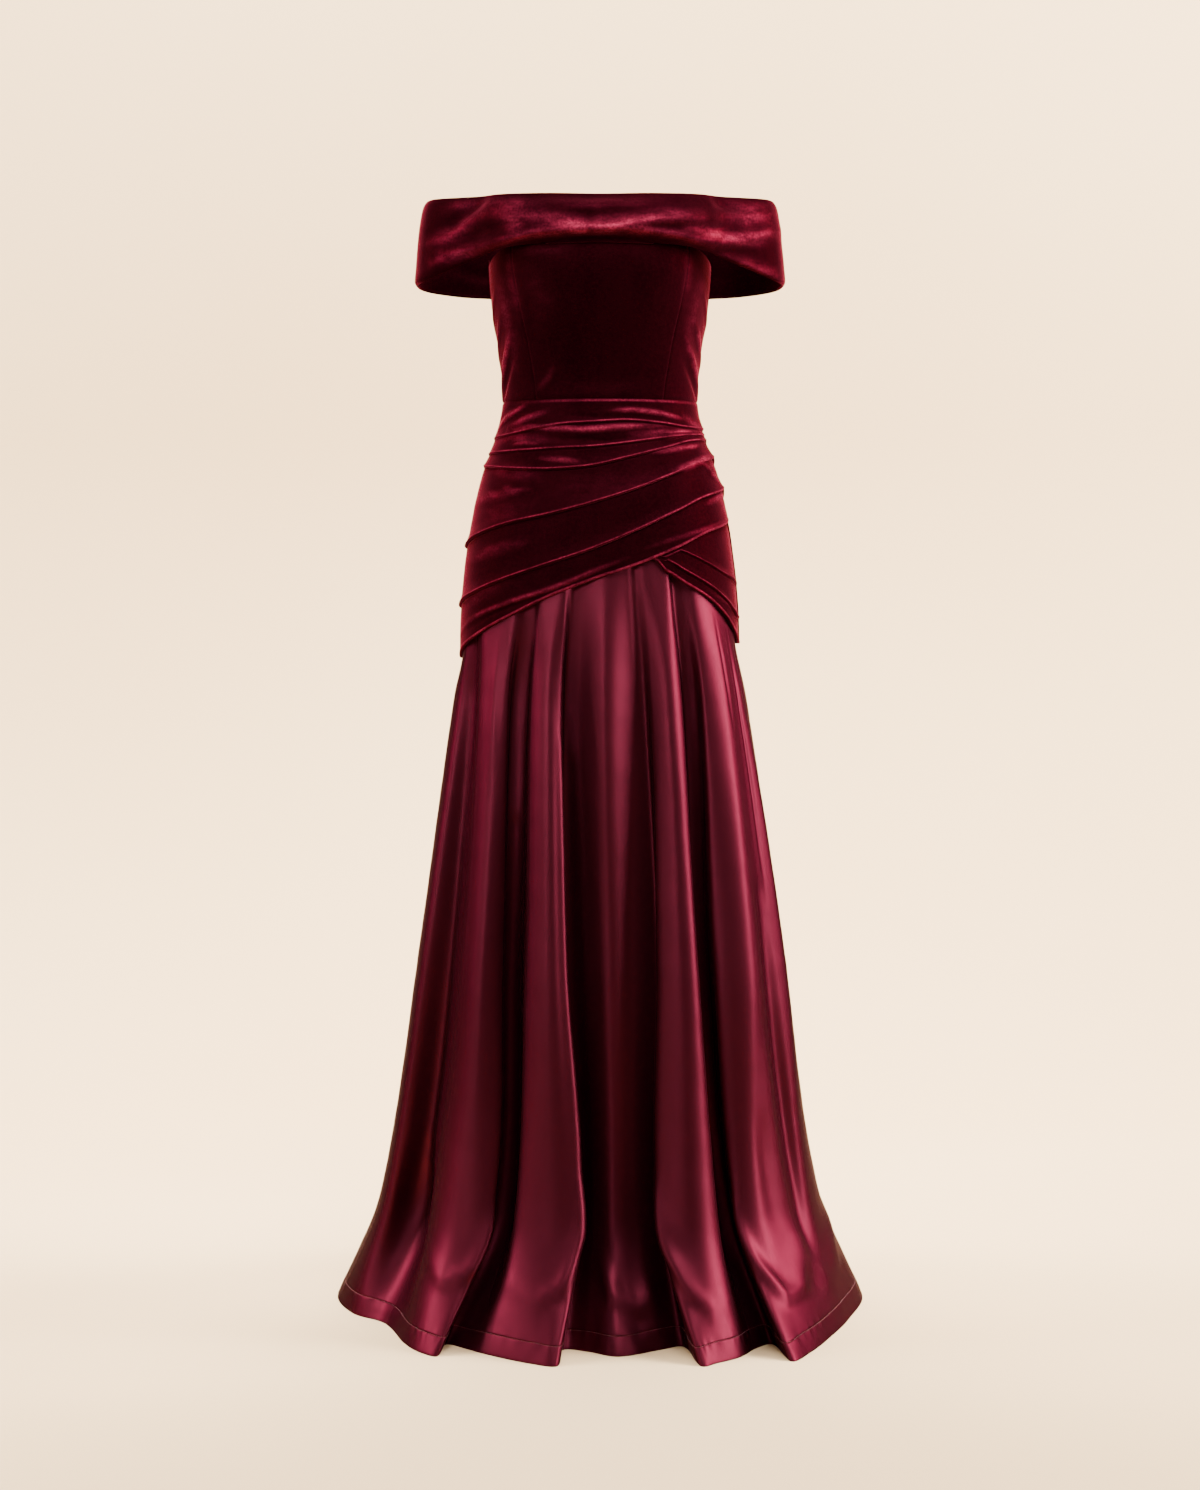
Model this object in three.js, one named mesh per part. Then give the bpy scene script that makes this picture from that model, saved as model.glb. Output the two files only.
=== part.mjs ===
// Maxi dress: an off-the-shoulder evening gown in its worn form, hollow and open.
// Millimetres, +Z up. The front faces -Y, +X is the wearer's left (right in a front view).
// The origin is the centre of the waist seam, where the gown is held up.
import * as THREE from "three";

// Driving sizes
const SHAPE_POWER = 2.3; // squareness of the body sections
const SEAM_GAP = 0.3; // clear distance between two cut pieces
const VELVET_WALL = 2.2;
const SATIN_WALL = 1.5;
const SIDE_SEAM = 90; // degrees from the centre front
const FLOOR = -1127; // height of the hem, which stands on the floor
const TUCK = 15; // how far the satin reaches up inside the velvet
const UNDER_TOP = 24; // how far the under-wrap reaches up inside the wrap
const TOP_RETURN = 16; // how far the band is turned down inside its top edge
const BAND_CLEAR = 0.5; // least distance of the band from the bodice
const UNDER_START = 22; // degrees at which the under-wrap begins, hidden by the wrap
const UNDER_SHOWS = 26; // degrees from which its hem is the lowest velvet edge
const STEP = 2.5; // height of the step below a fold edge
const HEM_EASE = 0.4; // how far cloth stands out at a step or a hem of the under-wrap
const HIP_EASE = 0.6; // how far the cloth of the hip stands out near its hem
const SATIN_DROP = 4; // height below the velvet's hem where the satin starts to hang free

// Spans the pieces are divided into
const BODICE_ROWS = 8;
const UNDER_SPANS = 16;
const SPANS_PER_FOLD = 3;
const SPANS_PER_STATION = 3;

// Body sections, highest first: height, half width, front depth, back depth
const TORSO = [
  [248, 130, 106, 92],
  [205, 137, 116, 96],
  [165, 138, 124, 97],
  [117, 134.5, 116, 94],
  [60, 126, 101, 89],
  [0, 121.5, 92, 88],
  [-45, 131, 99, 96],
  [-90, 147, 108, 106],
  [-145, 160, 116, 117],
  [-202, 169, 121, 124],
  [-258, 174, 123, 125],
  [-330, 176, 126, 126],
];

// Princess seams of the bodice: height, degrees from the centre front
const PRINCESS = [
  [190, 52],
  [130, 49.5],
  [80, 48],
  [35, 47],
  [0, 46],
];

// Top edge of the bodice: degrees from the centre front, height
const BODICE_TOP = [
  [180, 176],
  [150, 174],
  [110, 165],
  [80, 168],
  [60, 180],
  [48, 187],
  [0, 187],
];

// Fold edges of the draped hip: degrees, then the height of each edge from the waist down, the last
// being the hem. The wearer's left side seam is at 90 degrees, the right one at 270 or -90.
const HIP_BACK_EDGES = [
  [270, -45, -64, -78, -180, -254, -318],
  [225, -40, -68, -92, -166, -234, -312],
  [180, -36, -64, -92, -150, -214, -308],
  [135, -34, -52, -70, -110, -166, -304],
  [90, -33, -40, -46, -66, -104, -300],
];
const HIP_FRONT_EDGES = [
  [90, -33, -40, -46, -66, -104, -145],
  [60, -33, -43, -50, -76, -118, -162],
  [42, -29, -47, -59, -92, -137, -182],
  [20, -26, -53, -70, -110, -160, -203],
  [-5, -28, -58, -81, -126, -182, -221],
  [-30, -31, -60, -85, -140, -201, -243],
  [-50, -38, -62, -84, -150, -218, -268],
  [-68, -43, -63, -81, -163, -235, -292],
  [-90, -45, -64, -78, -180, -254, -318],
];
// How far each fold edge stands out, and how high the swelling above it reaches
const HIP_LIFT = [1.4, 1.6, 2.8, 3.4, 3.4];
const HIP_SWELL = 16;

// Under-wrap: degrees, first fold edge, second fold edge, hem
const UNDER_EDGES = [
  [90, -226, -268, -300],
  [78, -218, -262, -284],
  [68, -211, -243, -263],
  [58, -199, -226, -243],
  [46, -185, -209, -225],
  [38, -178, -197, -212],
  [30, -172, -190, -203],
  [20, -166, -183, -196],
];
const UNDER_LIFT = 1.8;

// Folds of the skirt, one row each, going round from the left side seam through the front.
// Degrees and inset where it leaves the velvet, then x, y at hip, thigh, shin and floor height.
const FOLD_HEIGHTS = [-371, -680, -985, FLOOR];
const FOLDS = [
  [-90, 3.2, -184, 0, -227, 0, -275, 0, -333, 0],
  [-77, 3.6, -174, -40, -215, -64, -261, -80, -306, -96],
  [-70, 9.0, -157, -46, -184, -60, -224, -76, -268, -140],
  [-62, 3.2, -147, -82, -166, -120, -203, -160, -232, -232],
  [-53, 3.2, -129, -101, -143, -147, -171, -200, -212, -268],
  [-46, 3.2, -113, -105, -118, -135, -130, -202, -192, -286],
  [-42, 9.0, -106, -92, -117, -113, -132, -160, -182, -235],
  [-37, 9.0, -90, -95, -97, -114, -106, -162, -160, -252],
  [-33, 4.0, -82, -112, -87, -160, -100, -212, -131, -279],
  [-27, 3.2, -66, -126, -63, -178, -58, -235, -82, -315],
  [-20, 3.2, -48, -121, -43, -168, -24, -230, -51, -328],
  [-17, 10.0, -42, -102, -46, -121, -30, -164, -42, -257],
  [-12, 9.0, -27, -107, -18, -129, -8, -178, -14, -266],
  [4, 3.2, 6, -131, 12, -149, 17, -194, 21, -286],
  [16, 8.0, 40, -113, 41, -136, 43, -184, 72, -257],
  [20, 10.0, 54, -106, 71, -123, 74, -166, 97, -243],
  [25, 6.2, 64, -118, 69, -156, 71, -220, 119, -328],
  [32, 6.2, 84, -127, 98, -172, 112, -234, 136, -314],
  [38, 6.2, 98, -118, 116, -165, 139, -216, 163, -290],
  [42, 12.5, 103, -90, 117, -114, 141, -156, 186, -250],
  [46, 12.5, 116, -91, 129, -118, 157, -152, 204, -233],
  [51, 6.2, 127, -103, 141, -141, 165, -194, 224, -307],
  [60, 6.2, 153, -92, 182, -138, 192, -191, 248, -268],
  [69, 7.4, 167, -66, 205, -98, 238, -132, 274, -208],
  [79, 6.2, 179, -46, 225, -66, 261, -98, 306, -120],
  [90, 6.2, 184, 0, 227, 0, 275, 0, 333, 0],
  [106, 3.2, 172, 46, 210, 72, 248, 98, 292, 158],
  [118, 3.2, 158, 76, 186, 110, 210, 152, 262, 262],
  [130, 9.0, 124, 88, 140, 110, 165, 150, 205, 238],
  [138, 3.2, 112, 112, 124, 146, 150, 200, 176, 305],
  [150, 3.2, 86, 122, 92, 166, 104, 226, 120, 326],
  [158, 10.0, 58, 112, 60, 140, 70, 182, 92, 252],
  [166, 3.2, 46, 130, 46, 172, 50, 234, 56, 330],
  [178, 3.2, 8, 134, 6, 176, 4, 238, -6, 322],
  [188, 10.0, -26, 116, -30, 142, -34, 184, -42, 250],
  [196, 3.2, -44, 131, -50, 172, -58, 234, -70, 334],
  [206, 3.2, -76, 124, -88, 160, -104, 216, -128, 306],
  [216, 9.0, -98, 100, -112, 124, -132, 164, -160, 236],
  [226, 3.2, -120, 108, -138, 142, -162, 192, -206, 298],
  [240, 3.2, -146, 86, -170, 114, -202, 150, -256, 238],
  [254, 6.0, -164, 52, -196, 66, -236, 86, -290, 140],
];
const FRONT_FOLDS = 25; // spans of the table that belong to the front of the skirt

// Off-the-shoulder band, one row per station from the centre front round the wearer's left arm to
// the centre back: x, y, z of the top edge, x, y, z of the middle, x, y, z of the lower edge, then
// how far the lower edge is tucked in and down to the neckline seam. The other arm is mirrored.
const BAND = [
  [0, -114, 241, 0, -128, 219, 0, -131, 197, 15, 12],
  [56, -112, 242, 57, -126, 218, 57, -128, 194, 15, 10],
  [100, -102, 243, 106, -113, 215, 105, -113, 187, 12, 4],
  [128, -84, 245, 134, -93, 212, 131, -92, 179, 4, 1],
  [143, -68, 246, 150, -76, 207, 149, -76, 172, 3, 0.5],
  [174, -50, 247, 180, -56, 203, 183, -57, 160, 3, 0.5],
  [208, -24, 248, 217, -28, 198, 221, -29, 147, 3, 0.5],
  [217, 14, 248, 226, 14, 198, 230, 14, 145, 3, 0.5],
  [208, 48, 247, 216, 50, 197, 220, 51, 142, 3, 0.5],
  [170, 70, 246, 177, 72, 195, 180, 73, 138, 3, 0.5],
  [120, 82, 245, 124, 84, 193, 126, 82, 136, 3, 0.5],
  [60, 95, 244, 62, 96, 192, 63, 94, 135, 3, 0.5],
  [0, 99, 244, 0, 99, 192, 0, 97, 134, 3, 0.5],
];
const ARM_STATION = 7; // row of the table with the seam at the outer arm

const velvet = (name) =>
  new THREE.MeshStandardMaterial({ name, color: 0x5a0f1e, roughness: 0.92, metalness: 0 });
const satin = (name) =>
  new THREE.MeshStandardMaterial({ name, color: 0x861f33, roughness: 0.38, metalness: 0 });

const radians = (degrees) => (degrees * Math.PI) / 180;
const mix = (a, b, u) => a + (b - a) * u;
const steps = (count) => Array.from({ length: count + 1 }, (_, i) => i / count);

// Smooth reading of a table whose first column falls from row to row
function read(table, at) {
  const last = table.length - 1;
  const key = Math.max(table[last][0], Math.min(table[0][0], at));
  let i = 0;
  while (i < last - 1 && key < table[i + 1][0]) i += 1;
  const [a, b] = [table[i], table[i + 1]];
  const [before, after] = [table[Math.max(i - 1, 0)], table[Math.min(i + 2, last)]];
  const span = b[0] - a[0];
  const u = (key - a[0]) / span;
  const slopes = (c) => {
    const plain = (b[c] - a[c]) / span;
    return [
      i > 0 ? (b[c] - before[c]) / (b[0] - before[0]) : plain,
      i + 2 <= last ? (after[c] - a[c]) / (after[0] - a[0]) : plain,
    ];
  };
  return a.slice(1).map((value, k) => {
    const [m0, m1] = slopes(k + 1);
    const start = value * (2 * u ** 3 - 3 * u ** 2 + 1) + m0 * span * (u ** 3 - 2 * u ** 2 + u);
    return start + b[k + 1] * (3 * u ** 2 - 2 * u ** 3) + m1 * span * (u ** 3 - u ** 2);
  });
}

// Distance from the axis to the body form, in the direction of an angle at a height
function reach(angle, z) {
  const [half, front, back] = read(TORSO, z);
  const depth = Math.cos(radians(angle)) > 0 ? front : back;
  const across = Math.abs(Math.sin(radians(angle)) / half) ** SHAPE_POWER;
  const along = Math.abs(Math.cos(radians(angle)) / depth) ** SHAPE_POWER;
  return (across + along) ** (-1 / SHAPE_POWER);
}

function onForm(angle, z, out) {
  const r = reach(angle, z) + out;
  return new THREE.Vector3(r * Math.sin(radians(angle)), -r * Math.cos(radians(angle)), z);
}

// Keeps a point at least a clear distance outside the body form
function outside(point, clear) {
  const angle = (Math.atan2(point.x, -point.y) * 180) / Math.PI;
  const least = reach(angle, point.z) + clear;
  const r = Math.hypot(point.x, point.y);
  return r < least ? onForm(angle, point.z, clear) : point;
}

// Draws the first and last column in, so that two neighbouring pieces stay a seam gap apart
function drawnIn(columns) {
  const pull = (from, to) =>
    from.map((p, j) => p.clone().add(to[j].clone().sub(p).setLength(SEAM_GAP / 2)));
  const n = columns.length;
  return columns.map((column, i) => {
    if (i === 0) return pull(column, columns[1]);
    return i === n - 1 ? pull(column, columns[n - 2]) : column;
  });
}

// One closed piece of cloth: two sheets of points joined round their four edges
function piece(name, material, outerColumns, innerColumns) {
  const sheets = [drawnIn(outerColumns), drawnIn(innerColumns)];
  const cols = outerColumns.length;
  const rows = outerColumns[0].length;
  const points = sheets.flatMap((sheet) => sheet.flatMap((column) => column));
  const faces = [];
  const at = (side, i, j) => side * cols * rows + i * rows + j;
  const quad = (a, b, c, d) => faces.push(a, b, c, a, c, d);
  for (let i = 0; i + 1 < cols; i += 1) {
    for (let j = 0; j + 1 < rows; j += 1) {
      quad(at(0, i, j), at(0, i, j + 1), at(0, i + 1, j + 1), at(0, i + 1, j));
      quad(at(1, i, j), at(1, i + 1, j), at(1, i + 1, j + 1), at(1, i, j + 1));
    }
    quad(at(0, i, 0), at(0, i + 1, 0), at(1, i + 1, 0), at(1, i, 0));
    quad(at(0, i, rows - 1), at(1, i, rows - 1), at(1, i + 1, rows - 1), at(0, i + 1, rows - 1));
  }
  for (let j = 0; j + 1 < rows; j += 1) {
    quad(at(0, 0, j), at(1, 0, j), at(1, 0, j + 1), at(0, 0, j + 1));
    quad(at(0, cols - 1, j), at(0, cols - 1, j + 1), at(1, cols - 1, j + 1), at(1, cols - 1, j));
  }
  const geometry = new THREE.BufferGeometry().setFromPoints(points);
  geometry.setIndex(faces);
  geometry.computeVertexNormals();
  const mesh = new THREE.Mesh(geometry, material(`${name}_cloth`));
  mesh.name = name;
  return mesh;
}

// Bodice: panels between two seams, each seam given as an angle for a height
function bodicePanel(name, from, to, count) {
  const sheet = (out) =>
    steps(count).map((u) =>
      steps(BODICE_ROWS).map((v) => {
        const top = read(BODICE_TOP, Math.abs(mix(from(90), to(90), u)))[0];
        const z = mix(top, SEAM_GAP / 2, v);
        return onForm(mix(from(z), to(z), u), z, out);
      }),
    );
  return piece(name, velvet, sheet(0), sheet(-VELVET_WALL));
}

function bodice() {
  const right = (z) => -read(PRINCESS, z)[0];
  const left = (z) => read(PRINCESS, z)[0];
  const fixed = (angle) => () => angle;
  return [
    bodicePanel("bodice_front_centre", right, left, 14),
    bodicePanel("bodice_side_front_right", fixed(-SIDE_SEAM), right, 7),
    bodicePanel("bodice_side_front_left", left, fixed(SIDE_SEAM), 7),
    bodicePanel("bodice_back_left", fixed(SIDE_SEAM), fixed(180), 12),
    bodicePanel("bodice_back_right", fixed(-180), fixed(-SIDE_SEAM), 12),
  ];
}

// Hip drape: every fold edge is a row of points that stands out, with a sharp step below it
function hipColumn(table, angle, out) {
  const edges = read(table, angle);
  const hem = edges.pop();
  const start = -SEAM_GAP / 2;
  const column = [onForm(angle, start, out)];
  let above = start;
  edges.forEach((edge, k) => {
    const room = Math.min(1, (above - edge) / 12);
    const lift = HIP_LIFT[k] * room;
    column.push(onForm(angle, Math.min(edge + HIP_SWELL, mix(above, edge, 0.5)), out + lift * 0.35));
    column.push(onForm(angle, edge, out + lift));
    above = edge - STEP * room;
    column.push(onForm(angle, above, out));
  });
  column.push(onForm(angle, mix(above, hem, 0.5), out + HIP_EASE));
  column.push(onForm(angle, hem + 3, out + HIP_EASE));
  column.push(onForm(angle, hem, out));
  return column;
}

function hipPiece(name, table, from, to, count) {
  const sheet = (out) => steps(count).map((u) => hipColumn(table, mix(from, to, u), out));
  return piece(name, velvet, sheet(0), sheet(-VELVET_WALL));
}

function hipDrape() {
  return [
    hipPiece("hip_wrap_front", HIP_FRONT_EDGES, -SIDE_SEAM, SIDE_SEAM, 30),
    hipPiece("hip_back_left", HIP_BACK_EDGES, SIDE_SEAM, 180, 13),
    hipPiece("hip_back_right", HIP_BACK_EDGES, 180, 360 - SIDE_SEAM, 13),
  ];
}

// Under-wrap: lies inside the wrap and shows below its hem beside the side seam
function underColumn(angle, out) {
  const [first, second, hem] = read(UNDER_EDGES, angle);
  const wrapHem = read(HIP_FRONT_EDGES, angle)[5];
  const top = wrapHem + UNDER_TOP;
  const shown = (z) => Math.max(0, Math.min(1, (wrapHem - STEP - z) / 6));
  const inside = -VELVET_WALL - 2 * SEAM_GAP;
  const edges = [Math.min(first, wrapHem - 4), Math.min(second, wrapHem - 9)];
  const rows = [
    [top, 0],
    [wrapHem, 0],
    ...edges.flatMap((edge) => [[edge, UNDER_LIFT], [edge - STEP, HEM_EASE]]),
    [Math.min(hem, wrapHem - 13), HEM_EASE],
  ];
  return rows.map(([z, lift]) => onForm(angle, z, out + inside + (lift + 2 * SEAM_GAP) * shown(z)));
}

function underWrap() {
  const sheet = (out) => steps(UNDER_SPANS).map((u) => underColumn(mix(UNDER_START, SIDE_SEAM, u), out));
  return [piece("hip_underwrap_left", velvet, sheet(0), sheet(-VELVET_WALL))];
}

// Height of the lowest velvet edge, where the satin comes out
function velvetHem(angle) {
  if (angle < UNDER_SHOWS) return read(HIP_FRONT_EDGES, angle)[5];
  return angle < SIDE_SEAM ? read(UNDER_EDGES, angle)[2] : read(HIP_BACK_EDGES, angle)[5];
}

// Skirt: each fold runs down its own smooth line, and a closed curve joins the folds at each level
function foldPoint(fold, v) {
  const [angle, inset, ...plan] = fold;
  const hem = velvetHem(angle);
  const top = onForm(angle, hem + TUCK, -inset);
  const edge = onForm(angle, hem - SATIN_DROP, -inset);
  const path = [
    [top.z, top.x, top.y],
    [edge.z, edge.x, edge.y],
    ...FOLD_HEIGHTS.map((z, k) => [z, plan[2 * k], plan[2 * k + 1]]),
  ];
  const z = mix(top.z, FLOOR, v);
  const [x, y] = read(path, z);
  return new THREE.Vector3(x, y, z);
}

// Fractions of a fold line's height at which the skirt has a ring of points
const SKIRT_LEVELS = [0, 0.02, 0.06, 0.13, 0.22, 0.33, 0.45, 0.57, 0.68, 0.78, 0.86, 0.93, 0.97, 1];

function skirt() {
  const count = FOLDS.length * SPANS_PER_FOLD;
  const rings = SKIRT_LEVELS.map((v) => {
    const curve = new THREE.CatmullRomCurve3(FOLDS.map((f) => foldPoint(f, v)), true, "centripetal");
    return steps(count).map((u) => {
      const p = curve.getPoint(u % 1);
      const [a, b] = [curve.getPoint((u + 0.999) % 1), curve.getPoint((u + 0.001) % 1)];
      const inward = new THREE.Vector3(a.y - b.y, b.x - a.x, 0).setLength(SATIN_WALL);
      return [p, p.clone().add(inward)];
    });
  });
  const sheet = (side, from, to) =>
    steps(to - from).map((_, i) => rings.map((ring) => ring[from + i][side].clone()));
  const split = FRONT_FOLDS * SPANS_PER_FOLD;
  return [
    piece("skirt_front", satin, sheet(0, 0, split), sheet(1, 0, split)),
    piece("skirt_back", satin, sheet(0, split, count), sheet(1, split, count)),
  ];
}

// Band: a turned-down top edge, a soft bulge, and a lower edge tucked in to the neckline seam
function bandStation(row, side) {
  const [tx, ty, tz, mx, my, mz, lx, ly, lz, tuckIn, tuckDown] = row;
  const away = new THREE.Vector2(tx, ty + (ty < 0 ? 0 : -15)).normalize();
  const at = (x, y, z, out) =>
    new THREE.Vector3(side * (x + away.x * out), y + away.y * out, z);
  return [
    at(tx, ty, tz - TOP_RETURN, -7),
    at(tx, ty, tz - 4, -6),
    at(tx, ty, tz, -2),
    at(tx, ty, tz - 5, 2.5),
    at(mix(tx, mx, 0.7), mix(ty, my, 0.7), mix(tz, mz, 0.6), 1.5),
    at(mx, my, mz, 1),
    at(mix(mx, lx, 0.6), mix(my, ly, 0.6), mix(mz, lz, 0.6), 1.2),
    at(lx, ly, lz + 3, 0.6),
    at(lx, ly, lz - tuckDown * 0.4, -tuckIn * 0.55),
    at(lx, ly, lz - tuckDown, -tuckIn),
  ];
}

function band() {
  const left = BAND.map((row) => bandStation(row, 1));
  const right = BAND.slice(1, -1).map((row) => bandStation(row, -1));
  const stations = [...left, ...right.reverse()];
  const lines = left[0].map((_, j) => stations.map((s) => s[j]));
  const curves = lines.map((line) => new THREE.CatmullRomCurve3(line, true, "centripetal"));
  const count = stations.length * SPANS_PER_STATION;
  const point = (i, j) => curves[j].getPoint((((i + count) % count) / count) % 1);
  const wall = (i, j) => {
    const rows = curves.length - 1;
    const round = point(i + 0.3, j).sub(point(i - 0.3, j));
    const down = point(i, Math.min(j + 1, rows)).sub(point(i, Math.max(j - 1, 0)));
    const normal = down.cross(round).normalize();
    const clear = outside(point(i, j).addScaledVector(normal, -VELVET_WALL), BAND_CLEAR);
    return [clear.clone().addScaledVector(normal, VELVET_WALL), clear];
  };
  const sheet = (from, to) => {
    const walls = steps(to - from).map((_, i) => curves.map((_, j) => wall(from + i, j)));
    return [0, 1].map((side) => walls.map((column) => column.map((pair) => pair[side])));
  };
  const arm = ARM_STATION * SPANS_PER_STATION;
  return [
    piece("band_front", velvet, ...sheet(-arm, arm)),
    piece("band_back", velvet, ...sheet(arm, count - arm)),
  ];
}

const dress = new THREE.Group();
dress.name = "maxi_dress";
dress.add(...bodice(), ...hipDrape(), ...underWrap(), ...skirt(), ...band());

export default dress;
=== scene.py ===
"""Maxi dress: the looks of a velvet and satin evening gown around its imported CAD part.

Tables are in millimetres and degrees, as in the part; Blender gets metres.
The front faces -Y, +X is the wearer's left, and the origin is the centre of the waist seam.
"""

import math

import bpy
import numpy as np
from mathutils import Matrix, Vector


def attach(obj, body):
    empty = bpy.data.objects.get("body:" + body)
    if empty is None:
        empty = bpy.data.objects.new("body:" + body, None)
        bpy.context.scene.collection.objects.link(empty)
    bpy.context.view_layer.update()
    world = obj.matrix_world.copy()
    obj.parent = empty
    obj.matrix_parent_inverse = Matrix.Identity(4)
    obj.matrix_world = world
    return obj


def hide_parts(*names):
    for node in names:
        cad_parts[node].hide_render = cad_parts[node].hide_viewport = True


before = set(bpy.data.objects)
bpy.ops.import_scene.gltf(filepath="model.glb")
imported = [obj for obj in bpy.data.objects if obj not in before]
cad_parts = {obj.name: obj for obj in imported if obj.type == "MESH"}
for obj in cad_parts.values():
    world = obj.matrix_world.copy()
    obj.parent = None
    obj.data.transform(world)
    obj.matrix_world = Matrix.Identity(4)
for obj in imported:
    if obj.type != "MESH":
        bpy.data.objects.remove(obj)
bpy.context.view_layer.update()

MM = 0.001
SHAPE_POWER = 2.3  # squareness of the body sections
VELVET_WALL = 2.2
SATIN_WALL = 1.5
SIDE_SEAM = 90  # degrees from the centre front
BACK_SEAM = 180
RIGHT_SEAM = 270  # right side seam, from the back
WAIST = 0.1  # clear distance of the bodice and the hip from the waist line
FLOOR = -1127
TUCK = 15  # how far the satin reaches up inside the velvet
SATIN_DROP = 4.0  # distance below the velvet's hem where it starts to hang free
CALM_REACH = 60  # height over which its soft relief comes in
UNDER_TOP = 24  # how far the under-wrap reaches up inside the wrap
UNDER_START = 22  # degrees at which it begins, hidden by the wrap
UNDER_SHOWS = 26  # degrees from which its hem is the lowest velvet edge
UNDER_HIDDEN = 27  # degrees up to which its edges stay behind the wrap
UNDER_APPEARS = 9  # degrees over which they come out
UNDER_BELOW = np.array([4, 9, 13])  # least distances of its edges below the wrap's hem
UNDER_RAISED = np.array([14, 16, 18])  # how much higher they are where they are hidden
UNDER_LIFT = 2.2  # how far its fold edges stand out
UNDER_SWELL = 9.0  # height above an edge over which it stands out
UNDER_BEHIND = 0.6  # how far it lies behind the wrap's inside
TOP_RETURN = 16  # how far the band is turned down inside its top edge
BAND_CLEAR = 0.5  # least distance of the band's inside from the body form, before its creases
LINING_CLEAR = 0.4  # and after them
HEM_TURNING = 25  # height of the stitched turning
WAVES = 9

# How far the cloth turns in beside a seam, and how far from the seam
WAIST_ROLL = (1.2, 1.8)
BODICE_ROLL = (0.7, 1.0)
HIP_ROLL = (0.9, 2.0)
BAND_ROLL = (0.8, 2.5)

# Millimetres that a degree, a fold's number or a station's number is worth
BODICE_ACROSS = 2.0
HIP_ACROSS = 2.6
SKIRT_ACROSS = 22.0
HIP_SEAM_ACROSS = 2.8
CLOTH_PER_FOLD = 24.0
CLOTH_PER_STATION = 36.0

# Points of the cloth grids
BODICE_ROWS = 88
PLEAT_ROWS = 22
LAST_ROWS = 26
UNDER_COLUMNS = 120
SKIRT_LEVELS = 420
SKIRT_ROWS = 92
COLUMNS_PER_FOLD = 14
BAND_ROWS = 80
COLUMNS_PER_STATION = 16

# Body sections, highest first: height, half width, front depth, back depth
TORSO = [
    [248, 130, 106, 92],
    [205, 137, 116, 96],
    [165, 138, 124, 97],
    [117, 134.5, 116, 94],
    [60, 126, 101, 89],
    [0, 121.5, 92, 88],
    [-45, 131, 99, 96],
    [-90, 147, 108, 106],
    [-145, 160, 116, 117],
    [-202, 169, 121, 124],
    [-258, 174, 123, 125],
    [-330, 176, 126, 126],
]

# Princess seams: height, degrees from the centre front
PRINCESS = [[190, 52], [130, 49.5], [80, 48], [35, 47], [0, 46]]

# Top edge of the bodice: degrees from the centre front, height
BODICE_TOP = [[180, 176], [150, 174], [110, 165], [80, 168], [60, 180], [48, 187], [0, 187]]

# Fold edges of the draped hip: degrees, height of each edge from the waist down, then the hem
HIP_BACK_EDGES = [
    [270, -45, -64, -78, -180, -254, -318],
    [225, -40, -68, -92, -166, -234, -312],
    [180, -36, -64, -92, -150, -214, -308],
    [135, -34, -52, -70, -110, -166, -304],
    [90, -33, -40, -46, -66, -104, -300],
]
HIP_FRONT_EDGES = [
    [90, -33, -40, -46, -66, -104, -145],
    [60, -33, -43, -50, -76, -118, -162],
    [42, -29, -47, -59, -92, -137, -182],
    [20, -26, -53, -70, -110, -160, -203],
    [-5, -28, -58, -81, -126, -182, -221],
    [-30, -31, -60, -85, -140, -201, -243],
    [-50, -38, -62, -84, -150, -218, -268],
    [-68, -43, -63, -81, -163, -235, -292],
    [-90, -45, -64, -78, -180, -254, -318],
]
# How far each fold edge stands out at the wearer's left side, the middle and the right side
HIP_LIFT_LEFT = [1.6, 2.0, 3.2, 3.8, 3.8]
HIP_LIFT_MIDDLE = [2.0, 1.4, 2.4, 3.0, 3.2]
HIP_LIFT_RIGHT = [1.0, 1.2, 2.6, 3.2, 3.0]

# Under-wrap: degrees, first fold edge, second fold edge, hem
UNDER_EDGES = [
    [90, -226, -268, -300],
    [78, -218, -262, -284],
    [68, -211, -243, -263],
    [58, -199, -226, -243],
    [46, -185, -209, -225],
    [38, -178, -197, -212],
    [30, -172, -190, -203],
    [20, -166, -183, -196],
]

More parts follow.
